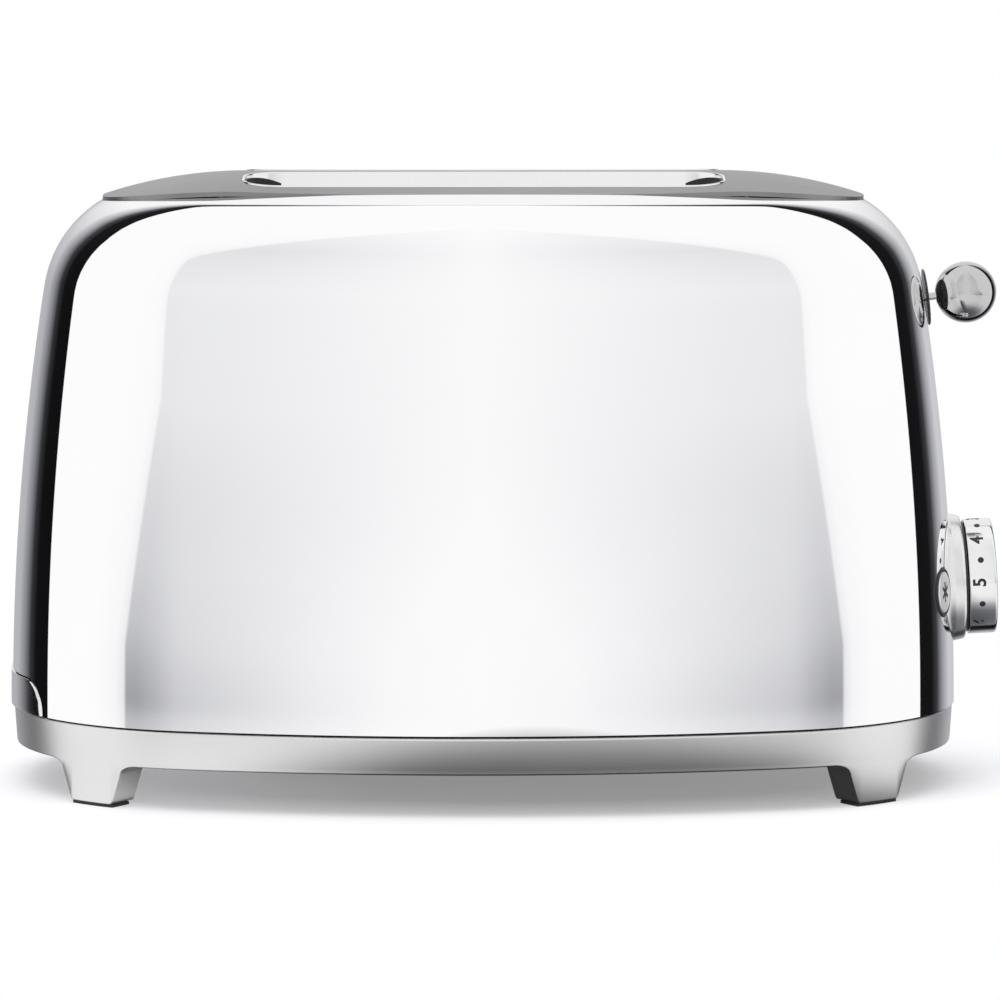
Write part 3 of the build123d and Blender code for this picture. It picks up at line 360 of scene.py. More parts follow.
def cut(piece, tool, operation="DIFFERENCE"):
    """Cut a piece with a closed tool, which is then removed."""
    modifier = piece.modifiers.new("cut", "BOOLEAN")
    modifier.operation = operation
    modifier.solver = "EXACT"
    modifier.object = tool
    settled(piece)
    bpy.data.objects.remove(tool)
    return piece


def softened(piece, width, segments, angle):
    """Round a piece's sharp edges by a width in millimetres."""
    modifier = piece.modifiers.new("soft_edge", "BEVEL")
    modifier.width = width / 1000
    modifier.segments = segments
    modifier.limit_method = "ANGLE"
    modifier.angle_limit = radians(angle)
    modifier.use_clamp_overlap = True
    return settled(piece)


def loop_faces(rings, count, closed_strip=False):
    """Faces between rings that have the same count of points, and from the last ring to the first if closed."""
    faces = []
    for ring in range(rings if closed_strip else rings - 1):
        here, there = ring * count, (ring + 1) % rings * count
        for index in range(count):
            after = (index + 1) % count
            faces.append((here + index, here + after, there + after, there + index))
    return faces


def sheet_faces(wide, deep):
    """Faces of a thin sheet: an upper and a lower grid of points, joined along their edges."""
    lower = wide * deep
    faces = []
    for row in range(deep - 1):
        for index in range(wide - 1):
            a = row * wide + index
            faces.append((a, a + 1, a + 1 + wide, a + wide))
            faces.append((lower + a, lower + a + wide, lower + a + 1 + wide, lower + a + 1))
    edge = list(range(wide)) + [row * wide + wide - 1 for row in range(1, deep)]
    edge += [(deep - 1) * wide + index for index in range(wide - 2, -1, -1)]
    edge += [row * wide for row in range(deep - 2, 0, -1)]
    for here, there in zip(edge, edge[1:] + edge[:1]):
        faces.append((here, lower + here, lower + there, there))
    return faces


def arc(centre_x, centre_y, radius, start, steps, sweep=pi / 2):
    """Points of an arc with both its ends."""
    turns = [start + sweep * step / steps for step in range(steps + 1)]
    return [(centre_x + radius * cos(turn), centre_y + radius * sin(turn)) for turn in turns]


# Axes of the turned pieces: origin, across, up the wall, and outwards

def end_axes(height):
    lean = asin((height - widest_height) / wall_bulge)
    return (Vector((wall_x(height), 0, height)), Vector((0, 1, 0)), Vector((-sin(lean), 0, cos(lean))),
            Vector((cos(lean), 0, sin(lean))))


def corner_centre(shape):
    """Centre of an outline's corner arc, which touches the front arc and the end arc."""
    half_x, half_y, front, corner, end = shape
    front_y, end_x = front - half_y, half_x - end
    reach_front, reach_end = front - corner, end - corner
    span = hypot(end_x, front_y)
    along = (span ** 2 + reach_front ** 2 - reach_end ** 2) / (2 * span)
    across = sqrt(reach_front ** 2 - along ** 2)
    step_x, step_y = end_x / span, -front_y / span
    first = (step_x * along + step_y * across, front_y + step_y * along - step_x * across)
    second = (step_x * along - step_y * across, front_y + step_y * along + step_x * across)
    return max(first, second)


def button_axes(side):
    drop = wall_drop(button_height)
    shape = tuple(value - drop for value in body_shape)
    centre = corner_centre(shape)
    turn = asin((button_y + centre[1]) / shape[3])
    lean = asin((button_height - widest_height) / wall_bulge)
    out = Vector((cos(turn) * cos(lean), side * sin(turn) * cos(lean), sin(lean)))
    origin = Vector((centre[0] + shape[3] * cos(turn), side * button_y, button_height))
    across = Vector((-out.y, out.x, 0)).normalized()
    return origin, across, out.cross(across), out


def circle(axes, radius, height, segments):
    """Points of a circle at a height along the outward direction."""
    origin, across, up, out = axes
    turns = [2 * pi * index / segments for index in range(segments)]
    return [origin + out * height + across * (radius * cos(turn)) + up * (radius * sin(turn)) for turn in turns]


def lathe(name, axes, profile, finish, body, segments=96):
    """A closed turned shape: profile points are radius and height along the outward direction."""
    points = []
    for radius, height in profile:
        points += circle(axes, radius, height, segments)
    hollow = profile[0][0] > 0 and profile[-1][0] > 0
    faces = loop_faces(len(profile), segments, hollow)
    return dress(new_piece(name, points, faces), finish, body)


def disc_tool(axes, radius, depth, segments=96):
    """A closed disc that reaches as deep inwards as outwards."""
    points = circle(axes, radius, -depth, segments) + circle(axes, radius, depth, segments)
    return new_piece("tool", points, prism_faces(segments))


def prism_faces(count):
    return loop_faces(2, count) + [tuple(reversed(range(count))), tuple(range(count, 2 * count))]


def prism_tool(outline, start, direction):
    """A closed prism from outline points, drawn along a direction."""
    points = [Vector(point) + Vector(start) for point in outline]
    points += [point + Vector(direction) for point in points]
    return new_piece("tool", points, prism_faces(len(outline)))


def rounded(profile, radii, steps=5):
    """A profile whose corners are rounded: radii maps a point's index to a radius."""
    made = []
    for index, point in enumerate(profile):
        radius = radii.get(index, 0)
        if not radius:
            made.append(point)
            continue
        here = Vector(point)
        back = Vector(profile[index - 1]) - here
        ahead = Vector(profile[(index + 1) % len(profile)]) - here
        start = here + back.normalized() * radius
        stop = here + ahead.normalized() * radius
        for step in range(steps + 1):
            share = step / steps
            made.append(tuple(start.lerp(here, share).lerp(here.lerp(stop, share), share)))
    return made


# Polished shell

def outline_stations(shape, step):
    """Points round an outline with their outward directions, starting at the middle of the front."""
    half_x, half_y, front, corner, end = shape
    centre_x, centre_y = corner_centre(shape)
    front_turn = asin(centre_x / (front - corner))
    end_turn = asin(-centre_y / (end - corner))
    stretches = (
        ((0, front - half_y), front, -pi / 2, front_turn - pi / 2),
        ((centre_x, centre_y), corner, front_turn - pi / 2, -end_turn),
        ((half_x - end, 0), end, -end_turn, 0),
    )
    quarter = []
    for (x, y), radius, start, stop in stretches:
        count = max(2, ceil(radius * (stop - start) / step))
        for index in range(count):
            turn = start + (stop - start) * index / count
            quarter.append((x + radius * cos(turn), y + radius * sin(turn), cos(turn), sin(turn)))
    quarter.append((half_x, 0, 1, 0))
    back = [(x, -y, a, -b) for x, y, a, b in reversed(quarter)]
    left = [(-x, -y, -a, -b) for x, y, a, b in quarter]
    front_left = [(-x, y, -a, b) for x, y, a, b in reversed(quarter)]
    return quarter[:-1] + back[:-1] + left[:-1] + front_left[:-1]


def outside_by(x, y, shape):
    """How far a point lies outside an outline; negative inside."""
    x, y = abs(x), abs(y)
    half_x, half_y, front, corner, end = shape
    centre_x, centre_y = corner_centre(shape)
    front_y, end_x = front - half_y, half_x - end
    if x * (front_y - centre_y) < centre_x * (y + front_y):
        return hypot(x, y + front_y) - front
    if y * (centre_x - end_x) < -centre_y * (x - end_x):
        return hypot(x - end_x, y) - end
    return hypot(x - centre_x, y + centre_y) - corner


rise = asin((shoulder_top - shoulder - widest_height) / (wall_bulge - shoulder))
wall_start = asin((shell_bottom - widest_height) / wall_bulge)
wall_run = wall_bulge * (rise - wall_start)
shoulder_run = shoulder * (pi / 2 - rise)
shoulder_in = wall_bulge - (wall_bulge - shoulder) * cos(rise)


def on_wall(run, inset=0.0):
    """Depth and height on the wall's profile at a length up it, drawn in by an inset."""
    if run < wall_run:
        turn = wall_start + run / wall_bulge
        reach = wall_bulge - inset
        return wall_bulge - reach * cos(turn), widest_height + reach * sin(turn)
    turn = rise + (run - wall_run) / shoulder
    reach = shoulder - inset
    return shoulder_in - reach * cos(turn), shoulder_top - shoulder + reach * sin(turn)


def on_body(station, run, inset=0.0):
    depth, height = on_wall(run, inset)
    x, y, out_x, out_y = station
    return (x - out_x * depth, y - out_y * depth, height)


opening_shape = tuple(value + panel_gap for value in panel_shape)


def run_to_opening(station, halvings=40):
    """The length up the shell from a place on its lower edge to the panel's opening."""
    low, high = wall_run, wall_run + shoulder_run
    for _ in range(halvings):
        middle = (low + high) / 2
        x, y, _height = on_body(station, middle)
        if outside_by(x, y, opening_shape) > 0:
            low = middle
        else:
            high = middle
    return (low + high) / 2


def polished_shell():
    """The shell as one sheet: outer rows up to the opening, then inner rows down again."""
    stations = outline_stations(body_shape, shell_step)
    ends = [run_to_opening(station) for station in stations]
    rows = [(row, skin_inset) for row in range(shell_rows + 1)]
    rows += [(row, sheet) for row in range(shell_rows, -1, -1)]
    points = []
    for row, inset in rows:
        points += [on_body(station, end * row / shell_rows, inset) for station, end in zip(stations, ends)]
    return new_piece("shell_skin", points, loop_faces(len(rows), len(stations), True))


def capsule(half_width, low, high, steps=12):
    """Outline across Y and Z of an upright slot with round ends."""
    outline = arc(0, high - half_width, half_width, 0, steps, pi)
    outline += arc(0, low + half_width, half_width, pi, steps, pi)
    return [(0, y, z) for y, z in outline]


def tab_outline(half_width, low, high, corner, steps=10):
    """Outline of the crumb tray's tab: square below, round at its two upper corners."""
    outline = [(-half_width, low), (half_width, low)]
    outline += arc(half_width - corner, high - corner, corner, 0, steps)
    outline += arc(corner - half_width, high - corner, corner, pi / 2, steps)
    return [(0, y, z) for y, z in outline]


shank_z = ball_place[2] - (ball_place[0] - wall_x(ball_place[2])) * tan(slide_lean)
lever_drop = lever_travel * cos(slide_lean)
lever_slot_high = shank_z + shank_radius + lever_slot_end_gap
lever_slot_low = shank_z - lever_drop - shank_radius - lever_slot_end_gap

shell_skin = polished_shell()
cut(shell_skin, prism_tool(capsule(lever_slot_half_width, lever_slot_low, lever_slot_high),
                           (116.6, 0, 0), (60, 0, 0)))
cut(shell_skin, disc_tool(end_axes(dial_height), dial_opening, dial_tool_depth))
for _name, side in sides:
    cut(shell_skin, disc_tool(button_axes(side), button_opening, button_tool_depth, 64))
cut(shell_skin, prism_tool(tab_outline(tab_half_width + tab_gap, 20, tab_top + tab_gap, tab_corner + tab_gap),
                           (-160.6, 0, 0), (39, 0, 0)))
dress(shell_skin, "polished_shell", "body", angle=40)
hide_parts("body_shell")


# Top panel and slot rims

def dome(x, y):
    """Height of the domed top over a point."""
    drop = drop_of_arc(top_cross_bend, y)
    past = abs(x) - top_half_flat
    if past <= 0:
        return body_height - drop
    reach = top_end_bend - drop
    return body_height - top_end_bend + sqrt(reach * reach - past * past)


def rounded_rectangle(length, width, corner, steps=8):
    points = []
    for sign_x, sign_y, start in ((1, 1, 0), (-1, 1, pi / 2), (-1, -1, pi), (1, -1, 3 * pi / 2)):
        points += arc(sign_x * (length / 2 - corner), sign_y * (width / 2 - corner), corner, start, steps)
    return points


def flat_tool(outline):
    """A prism through the whole panel from an outline seen from above."""
    return prism_tool([(x, y, 0) for x, y in outline], (0, 0, panel_tool_low),
                      (0, 0, panel_tool_high - panel_tool_low))


def top_panel():
    xs, ys = [[-reach + 2 * reach * k / squares for k in range(squares + 1)]
              for reach, squares in zip(panel_reach, panel_squares)]
    points = [(x, y, dome(x, y) + lift) for lift in (0, -panel_thickness) for y in ys for x in xs]
    piece = new_piece("panel_skin", points, sheet_faces(len(xs), len(ys)))
    cut(piece, flat_tool([station[:2] for station in outline_stations(panel_shape, 2.5)]), "INTERSECT")
    hole = rounded_rectangle(slot_length + 2 * rim_wall, slot_width + 2 * rim_wall, slot_corner + rim_wall)
    for _name, side in sides:
        cut(piece, flat_tool([(x, y + side * slot_y) for x, y in hole]))
    return piece


panel_skin = top_panel()
dress(panel_skin, "satin_panel", "body", angle=30)
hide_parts("top_panel")


def evenly_split(outline, step):
    """A closed outline whose long sides are split into short ones."""
    path = []
    for (x, y), (next_x, next_y) in zip(outline, outline[1:] + outline[:1]):
        parts = max(1, ceil(hypot(next_x - x, next_y - y) / step))
        path += [(x + (next_x - x) * k / parts, y + (next_y - y) * k / parts) for k in range(parts)]
    return path


def slot_rim(name, side, steps=8):
    """A bright lip: a thin upright wall round the slot whose top is rolled over."""
    path = evenly_split(rounded_rectangle(slot_length, slot_width, slot_corner, 10), rim_step)
    low = body_height - rim_depth
    points = []
    for index, (x, y) in enumerate(path):
        before, after = path[index - 1], path[(index + 1) % len(path)]
        out = Vector((after[1] - before[1], before[0] - after[0])).normalized()
        top = dome(x, y + side * slot_y) + rim_rise - rim_roll
        ring = [(0.0, low)] + arc(rim_roll, top, rim_roll, pi, steps, -pi) + [(rim_wall, low)]
        points += [(x + out.x * d, y + side * slot_y + out.y * d, z) for d, z in ring]
    piece = new_piece(f"slot_lip_{name}", points, loop_faces(len(path), steps + 3, True))
    dress(piece, "bright_rim", "body")
    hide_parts(f"slot_rim_{name}")


def slot_end_shade(name, side, end, sign):
    """A thin black liner at one round end of a slot: painted shade for the dark inside of the slot."""
    outline = rounded_rectangle(slot_length - end_shade_gap, slot_width - end_shade_gap, slot_corner, 16)
    line = sorted((point for point in outline if point[0] * sign > end_shade_start), key=lambda point: point[1])
    low = body_height - rim_depth
    points = []
    for x, y in line:
        from_end = (slot_length / 2 - abs(x)) / slot_corner
        fall = end_shade_fall * (1 + end_shade_bend * from_end * from_end)
        top = dome(x, y + side * slot_y) + rim_rise - fall
        ring = [(0, low), (0, top), (-sign * end_shade_wall, top), (-sign * end_shade_wall, low)]
        points += [(x + d, y + side * slot_y, z) for d, z in ring]
    faces = loop_faces(len(line), 4) + [(3, 2, 1, 0), tuple(range(len(points) - 4, len(points)))]
    # The black finish of this liner is painted shade.
    dress(new_piece(f"slot_end_shade_{name}_{end}", points, faces), "black_plastic", "body")


for name, side in sides:
    slot_rim(name, side)
    slot_end_shade(name, side, "left", -1)
    slot_end_shade(name, side, "right", 1)


# Cast band with its four feet

def foot_share(height):
    """How far a foot has flared out at a height: nearly straight, then a fillet under the band."""
    if height <= foot_waist:
        return foot_waist_share * (height - foot_bottom) / (foot_waist - foot_bottom)
    climb = min(1.0, (height - foot_waist) / (foot_height - foot_waist))
    return foot_waist_share + (1 - foot_waist_share) * (1 - sqrt(1 - climb * climb))


def foot_sides(height):
    """Where a foot's two sides stand at a height, in degrees round the body's corner."""
    share = foot_share(height)
    short = max(0.0, foot_round - (height - foot_bottom))
    inset = degrees((foot_round - sqrt(foot_round ** 2 - short ** 2)) / (body_shape[3] - band_edge))
    low, high = [a + (b - a) * share for a, b in zip(foot_low_angles, foot_top_angles)]
    return low + inset, high - inset


def lower_edge(x, y, halvings=30):
    """Height of the casting's lower edge at a place on the outline: down a foot, or along the band."""
    centre_x, centre_y = corner_centre(body_shape)
    place = degrees(atan2(abs(y) + centre_y, abs(x) - centre_x))
    if not foot_top_angles[0] < place < foot_top_angles[1]:
        return foot_height
    low, high = foot_bottom, foot_height
    for _ in range(halvings):
        middle = (low + high) / 2
        near, far = foot_sides(middle)
        if near < place < far:
            high = middle
        else:
            low = middle
    return high


def cast_band():
    """The band and its four feet as one casting, whose lower edge runs down and up each foot."""
    stations = outline_stations(body_shape, 0.5)
    inner = band_inset + band_wall
    top = rounded([(band_edge - 0.12, band_draft_low), (band_inset, band_top), (inner, band_top)], {1: band_round})
    ledge = [(inner, ledge_top), (ledge_inset, ledge_top), (ledge_inset, ledge_low), (inner, ledge_low)]
    points = []
    for x, y, out_x, out_y in stations:
        low = lower_edge(x, y)
        on_foot = low < foot_height - 0.001
        deep = band_edge + foot_depth + foot_flare * foot_share(low) if on_foot else inner + 0.02
        profile = [(band_edge + edge_round * (1 - sin(pi / 8 * k)), low + edge_round * (1 - cos(pi / 8 * k)))
                   for k in range(5)]
        profile += [(band_edge, max(low + edge_round + 0.1, foot_height))] + top + ledge
        profile += [(inner, foot_height + 0.3), (deep, foot_height + 0.2), (deep, low + 0.05)]
        points += [(x - out_x * d, y - out_y * d, z) for d, z in profile]
    return new_piece("band_casting", points, loop_faces(len(stations), len(profile), True))


band_casting = cast_band()
dress(band_casting, "satin_cast", "body", angle=40)
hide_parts("base_frame")


# Tab of the crumb tray, which follows the left end of the wall

def tray_tab():
    stations = [station for station in outline_stations(body_shape, 2.0) if station[0] < tab_only_past]
    heights = [shell_bottom - 2 + (tab_top + 4 - shell_bottom) * k / tab_rows for k in range(tab_rows + 1)]
    points = [(x - a * (wall_drop(z) + depth), y - b * (wall_drop(z) + depth), z)
              for depth in (-tab_proud, tab_depth) for z in heights for x, y, a, b in stations]
    piece = new_piece("tray_tab", points, sheet_faces(len(stations), len(heights)))
    outline = tab_outline(tab_half_width, shell_bottom, tab_top, tab_corner)
    return cut(piece, prism_tool(outline, (-180, 0, 0), (80, 0, 0)), "INTERSECT")


tray_piece = softened(tray_tab(), 0.45, 3, 40)
dress(tray_piece, "tray_metal", "tray", angle=35)
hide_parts("tray_handle")


# Lever: ball on a thin shank, and the collar

lever_axes = (Vector(ball_place), Vector((0, 1, 0)), Vector((-sin(slide_lean), 0, cos(slide_lean))),
              Vector((cos(slide_lean), 0, sin(slide_lean))))
ball_turns = [pi * step / ball_steps for step in range(ball_steps + 1)]
ball_profile = [(ball_radius * sin(turn), ball_radius * cos(turn)) for turn in ball_turns]
ball_profile = [point for point in ball_profile if point[1] >= 0 or point[0] >= ball_neck]
neck_height = ball_profile[-1][1]
ball_profile += [(2.45, neck_height + 0.25), (shank_radius, neck_height + 0.35), (shank_radius, shank_end),
                 (0.0, shank_end)]
# The ball wears the darker chrome tone, a painted dark reflection.
lever_ball = lathe("lever_ball", lever_axes, ball_profile, "ball_metal_painted_reflection", "carriage", 96)
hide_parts("lever_knob")

wall_bow = lever_travel ** 2 / (8 * wall_bulge)
collar_back = wall_bow + 0.3 - (ball_place[0] - wall_x(shank_z)) / cos(slide_lean)
collar_rise = [(collar_bore, 0), (9.1, 0), (9.35, 0.2), (9.3, 0.5), (8.9, 0.72), (8.2, 0.74), (7.9, 0.55),
               (5.0, 0.62), (2.4, 0.78), (collar_bore, 0.8)]
collar_profile = [(radius, collar_back + lift) for radius, lift in collar_rise]
# The collar's near-black finish is a painted dark reflection of a chrome disc.
collar = lathe("lever_escutcheon", lever_axes, collar_profile, "collar_painted_dark_reflection", "carriage", 72)
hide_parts("lever_collar")


# Browning dial with its bezel, dark groove, numbers and dots

dial_axes = end_axes(dial_height)
bezel_profile = rounded(
    [(bezel_bore, -8.0), (25.0, -8.0), (25.0, -6.5), (bezel_radius, -6.5), (bezel_radius, 0.2),
     (20.4, bezel_proud), (bezel_bore, bezel_proud)],
    {4: 0.1, 5: 1.2, 6: 0.4})
bezel = lathe("dial_bezel_ring", dial_axes, bezel_profile, "bezel_metal", "body", 128)
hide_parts("dial_bezel")
groove_profile = [(10, bezel_proud), (18.2, bezel_proud), (18.2, bezel_proud + 0.8), (10, bezel_proud + 0.8)]
groove = lathe("dial_groove", dial_axes, groove_profile, "black_plastic", "body", 96)
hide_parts("dial_gasket")
knob_profile = rounded(
    [(3.0, knob_low), (6.0, knob_low), (6.0, 12.3), (17.0, 12.3), (17.0, knob_low), (knob_radius, knob_low),
     (knob_radius, 14.3), (16.4, 14.3), (15.9, knob_face)],
    {5: 0.35, 6: 1.2})
knob_profile += [(0.0, knob_face), (0.0, 10.3), (3.0, 10.3), (3.0, knob_low)]
knob = lathe("dial_turning_knob", dial_axes, knob_profile, "knob_metal", "dial", 128)
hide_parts("dial_knob")


def on_knob(turn, height, radius):
    origin, across, up, out = dial_axes
    return origin + out * height + across * (radius * sin(turn)) + up * (radius * cos(turn))


def dial_number(digit, turn):
    """A printed number on the knob's side, its top towards the body."""
    curve = bpy.data.curves.new(f"dial_number_{digit}", "FONT")
    curve.body = digit
    curve.size = number_size
    curve.align_x = "CENTER"
    curve.align_y = "CENTER"
    curve.extrude = 0.03
    curve.offset = number_weight
    text = bpy.data.objects.new(f"dial_number_{digit}", curve)
    bpy.context.scene.collection.objects.link(text)
    bpy.context.view_layer.update()
    mesh = bpy.data.meshes.new_from_object(text.evaluated_get(bpy.context.evaluated_depsgraph_get()))
    bpy.data.objects.remove(text)
    across, along = [[vertex.co[axis] for vertex in mesh.vertices] for axis in (0, 1)]
    middle_x, middle_y = (min(across) + max(across)) / 2, (min(along) + max(along)) / 2
    for vertex in mesh.vertices:
        u, v, lift = vertex.co.x - middle_x, vertex.co.y - middle_y, vertex.co.z
        place = on_knob(radians(turn) + u / knob_radius, number_height - v, knob_radius + 0.03 + lift)
        vertex.co = to_frame(place)
    piece = bpy.data.objects.new(f"dial_number_{digit}", mesh)
    bpy.context.scene.collection.objects.link(piece)
    dress(clean_mesh(piece), "dial_print", "dial")


for number in range(1, 7):
    dial_number(str(number), 45 * (3 - number))


# Geometry Nodes: dots round the dial and the round wires of the bread guards

def new_tree(name, inputs):
    tree = bpy.data.node_groups.new(name, "GeometryNodeTree")
    place = ("Place", "NodeSocketVector", (0, 0, 0))
    group_sockets(tree, [*inputs, place, ("Finish", "NodeSocketMaterial", None)],
                  [("Geometry", "NodeSocketGeometry")])
    return tree, tree.nodes.new("NodeGroupInput").outputs


def rod(tree, count, radius, length):
    """A round rod with a count of facets."""
    return new_node(tree, "GeometryNodeMeshCylinder", {
        "Vertices": count, "Radius": radius, "Depth": length}).outputs["Mesh"]


def put_in_place(tree, given, geometry, **more):
    """The last steps of both trees: into place, made real, and covered with the finish."""
    moved = new_node(tree, "GeometryNodeTransform", {"Geometry": geometry, "Translation": given["Place"], **more})
    real = new_node(tree, "GeometryNodeRealizeInstances", {"Geometry": moved.outputs["Geometry"]})
    cover = new_node(tree, "GeometryNodeSetMaterial", {
        "Geometry": real.outputs["Geometry"], "Material": given["Finish"]})
    new_node(tree, "NodeGroupOutput", {"Geometry": cover.outputs["Geometry"]})
    return tree


def guard_tree():
    """A row of upright round wires, with a rail across them low and high."""
    tree, given = new_tree("wire_guard", [
        ("Wire Radius", "NodeSocketFloat", 0.0009), ("Wires", "NodeSocketInt", 8),
        ("Pitch", "NodeSocketFloat", 0.018), ("Low", "NodeSocketFloat", 0.0426),
        ("High", "NodeSocketFloat", 0.1726), ("Rail Low", "NodeSocketFloat", 0.0516),
        ("Rail High", "NodeSocketFloat", 0.1636), ("Rail Half", "NodeSocketFloat", 0.0897),
        ("Rail Offset", "NodeSocketFloat", rail_offset / 1000)])
    run = maths(tree, "MULTIPLY", maths(tree, "SUBTRACT", given["Wires"], 1), given["Pitch"])
    middle = maths(tree, "MULTIPLY", maths(tree, "ADD", given["Low"], given["High"]), 0.5)
    line = new_node(tree, "GeometryNodeMeshLine", {
        "Count": given["Wires"], "Start Location": joined_xyz(tree, maths(tree, "MULTIPLY", run, -0.5), 0, middle),
        "Offset": joined_xyz(tree, given["Pitch"])}, mode="OFFSET")
    wire = rod(tree, 12, given["Wire Radius"], maths(tree, "SUBTRACT", given["High"], given["Low"]))
    copies = new_node(tree, "GeometryNodeInstanceOnPoints", {"Points": line.outputs["Mesh"], "Instance": wire})
    rail = rod(tree, 12, given["Wire Radius"], maths(tree, "MULTIPLY", given["Rail Half"], 2))
    join = new_node(tree, "GeometryNodeJoinGeometry", {"Geometry": copies.outputs["Instances"]})
    for height in ("Rail Low", "Rail High"):
        place = joined_xyz(tree, 0, given["Rail Offset"], given[height])
        laid = new_node(tree, "GeometryNodeTransform", {
            "Geometry": rail, "Rotation": (0, pi / 2, 0), "Translation": place})
        tree.links.new(laid.outputs["Geometry"], join.inputs["Geometry"])
    return put_in_place(tree, given, join.outputs["Geometry"])


def dots_tree():
    """Thin round dots at even steps round the knob."""
    tree, given = new_tree("dial_dots", [
        ("Dots", "NodeSocketInt", 5), ("Step", "NodeSocketFloat", radians(45)),
        ("First", "NodeSocketFloat", 0.0), ("Ring Radius", "NodeSocketFloat", 0.019),
        ("Dot Radius", "NodeSocketFloat", 0.001), ("Thickness", "NodeSocketFloat", 0.0001),
        ("Height", "NodeSocketFloat", 0.009), ("Turn", "NodeSocketVector", (0, 0, 0))])
    index = tree.nodes.new("GeometryNodeInputIndex").outputs[0]
    angle = maths(tree, "ADD", maths(tree, "MULTIPLY", index, given["Step"]), given["First"])
    across, up = [maths(tree, "MULTIPLY", maths(tree, way, angle), given["Ring Radius"]) for way in
                  ("SINE", "COSINE")]
    points = new_node(tree, "GeometryNodePoints", {
        "Count": given["Dots"], "Position": joined_xyz(tree, given["Height"], across, up)})
    copies = new_node(tree, "GeometryNodeInstanceOnPoints", {
        "Points": points.outputs[0], "Instance": rod(tree, 20, given["Dot Radius"], given["Thickness"]),
        "Rotation": joined_xyz(tree, maths(tree, "MULTIPLY", angle, -1.0))})
    return put_in_place(tree, given, copies.outputs["Instances"], Rotation=given["Turn"])


def grown(name, tree, values):
    """The plain mesh that a tree makes with these values."""
    holder = bpy.data.objects.new(name, bpy.data.meshes.new(name))
    bpy.context.scene.collection.objects.link(holder)
    modifier = holder.modifiers.new("grow", "NODES")
    modifier.node_group = tree
    sockets = {item.name: item.identifier for item in tree.interface.items_tree if item.in_out == "INPUT"}
    for label, value in values.items():
        modifier[sockets[label]] = value
    return clean_mesh(settled(holder))


wire_guard = guard_tree()
for name, side in sides:
    for place, away in (("inner", -1), ("outer", 1)):
        guard = grown(f"guard_wires_{name}_{place}", wire_guard, {
            "Place": (middle_shift / 1000, side * (slot_y + away * guard_away) / 1000, 0.0),
            "Rail Offset": side * away * rail_offset / 1000, "Finish": finishes["guard_wire"]})
        dress(guard, "guard_wire", f"guard_{name}_{place}")
        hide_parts(f"bread_guard_{name}_{place}")

dial_lean = asin((dial_height - widest_height) / wall_bulge)
dots = grown("dial_dots", dots_tree(), {
    "First": radians(-112.5), "Ring Radius": 0.01902, "Height": 0.0091,
    "Place": to_frame(dial_axes[0]), "Turn": (0.0, -dial_lean, 0.0), "Finish": finishes["dial_print"]})
dress(dots, "dial_print", "dial")


# Buttons: dark ring, light face and a small plain mark

def bar_mark(name, turns, length, width=1.1):
    """A small mark of thin crossing bars on a button's face."""
    origin, across, up, out = button_axes(dict(sides)[name])
    points, faces = [], []
    for turn in turns:
        along = across * cos(turn) + up * sin(turn)
        aside = up * cos(turn) - across * sin(turn)
        base = len(points)
        points += [origin + out * lift + along * (a * length / 2) + aside * (b * width / 2)
                   for lift in (cap_proud - 0.02, cap_proud + 0.06)
                   for a, b in ((1, 1), (-1, 1), (-1, -1), (1, -1))]
        faces += [tuple(base + k for k in face) for face in
                  ((0, 3, 2, 1), (4, 5, 6, 7), (0, 1, 5, 4), (1, 2, 6, 5), (2, 3, 7, 6), (3, 0, 4, 7))]
    piece = new_piece(f"button_mark_{name}", points, faces, 0.0000001)
    dress(piece, "dial_print", f"button_{name}")


cap_profile = [(0.0, -8.0), (2.0, -8.0), (2.0, -2.7), (cap_radius, -2.7), (cap_radius, 0.1), (6.6, 0.38),
               (6.3, 0.55), (5.9, cap_proud), (0.0, cap_proud)]
for name, side in sides:
    cap = lathe(f"button_cap_{name}", button_axes(side), cap_profile, "button_metal", f"button_{name}", 72)
    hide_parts(f"button_{name}")
bar_mark("front", [pi / 6, pi / 2, 5 * pi / 6], 6.6)
bar_mark("back", [0.0, pi / 2], 5.0)

ring_profile = rounded([(ring_bore, -4.2), (ring_radius, -4.2), (ring_radius, -3.0), (7.9, -3.0), (7.9, 0.3),
                        (ring_bore, 0.3)], {4: 0.3, 5: 0.3}, 4)
ring_pieces = [lathe(f"button_ring_{name}", button_axes(side), ring_profile, "black_plastic", "body", 72)
               for name, side in sides]
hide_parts("button_rings")


# Finishes of the CAD nodes that stay in view

record_slots = {entry["node"]: entry["material_slot"] for entry in frame["record"]["subparts"]}
for name, node in frame["nodes"].items():
    node.data.materials.clear()
    node.data.materials.append(finishes[record_slots[name]])


# Studio: a pale floor, soft lamps, and a room that only mirrors see

even_light = 0.62
room_tint = (0.9, 0.91, 1.0, 1)
rear_left, rear_right, rear_top = 0.47, 0.64, 0.95

# The rear opening starts this many degrees from the front; a ramp's levels of 0 to 1 stand for 0 to 100 degrees
rear_start = 113.5
ramp_degrees = 100.0


def ramp_node(tree, value, stops, high=None):
    """A curve of greys from the first stop's value up to the last stop's, or to a higher one."""
    low, high = stops[0][0], high or stops[-1][0]
    span = new_node(tree, "ShaderNodeMapRange", {"Value": value, "From Min": low, "From Max": high})
    ramp = new_node(tree, "ShaderNodeValToRGB", {"Fac": span.outputs["Result"]})
    elements = ramp.color_ramp.elements
    for index, (place, level) in enumerate([stops[0], stops[-1]]):
        elements[index].position, elements[index].color = (place - low) / (high - low), colour(level)
    for place, level in stops[1:-1]:
        elements.new((place - low) / (high - low)).color = colour(level)
    return ramp.outputs["Color"]


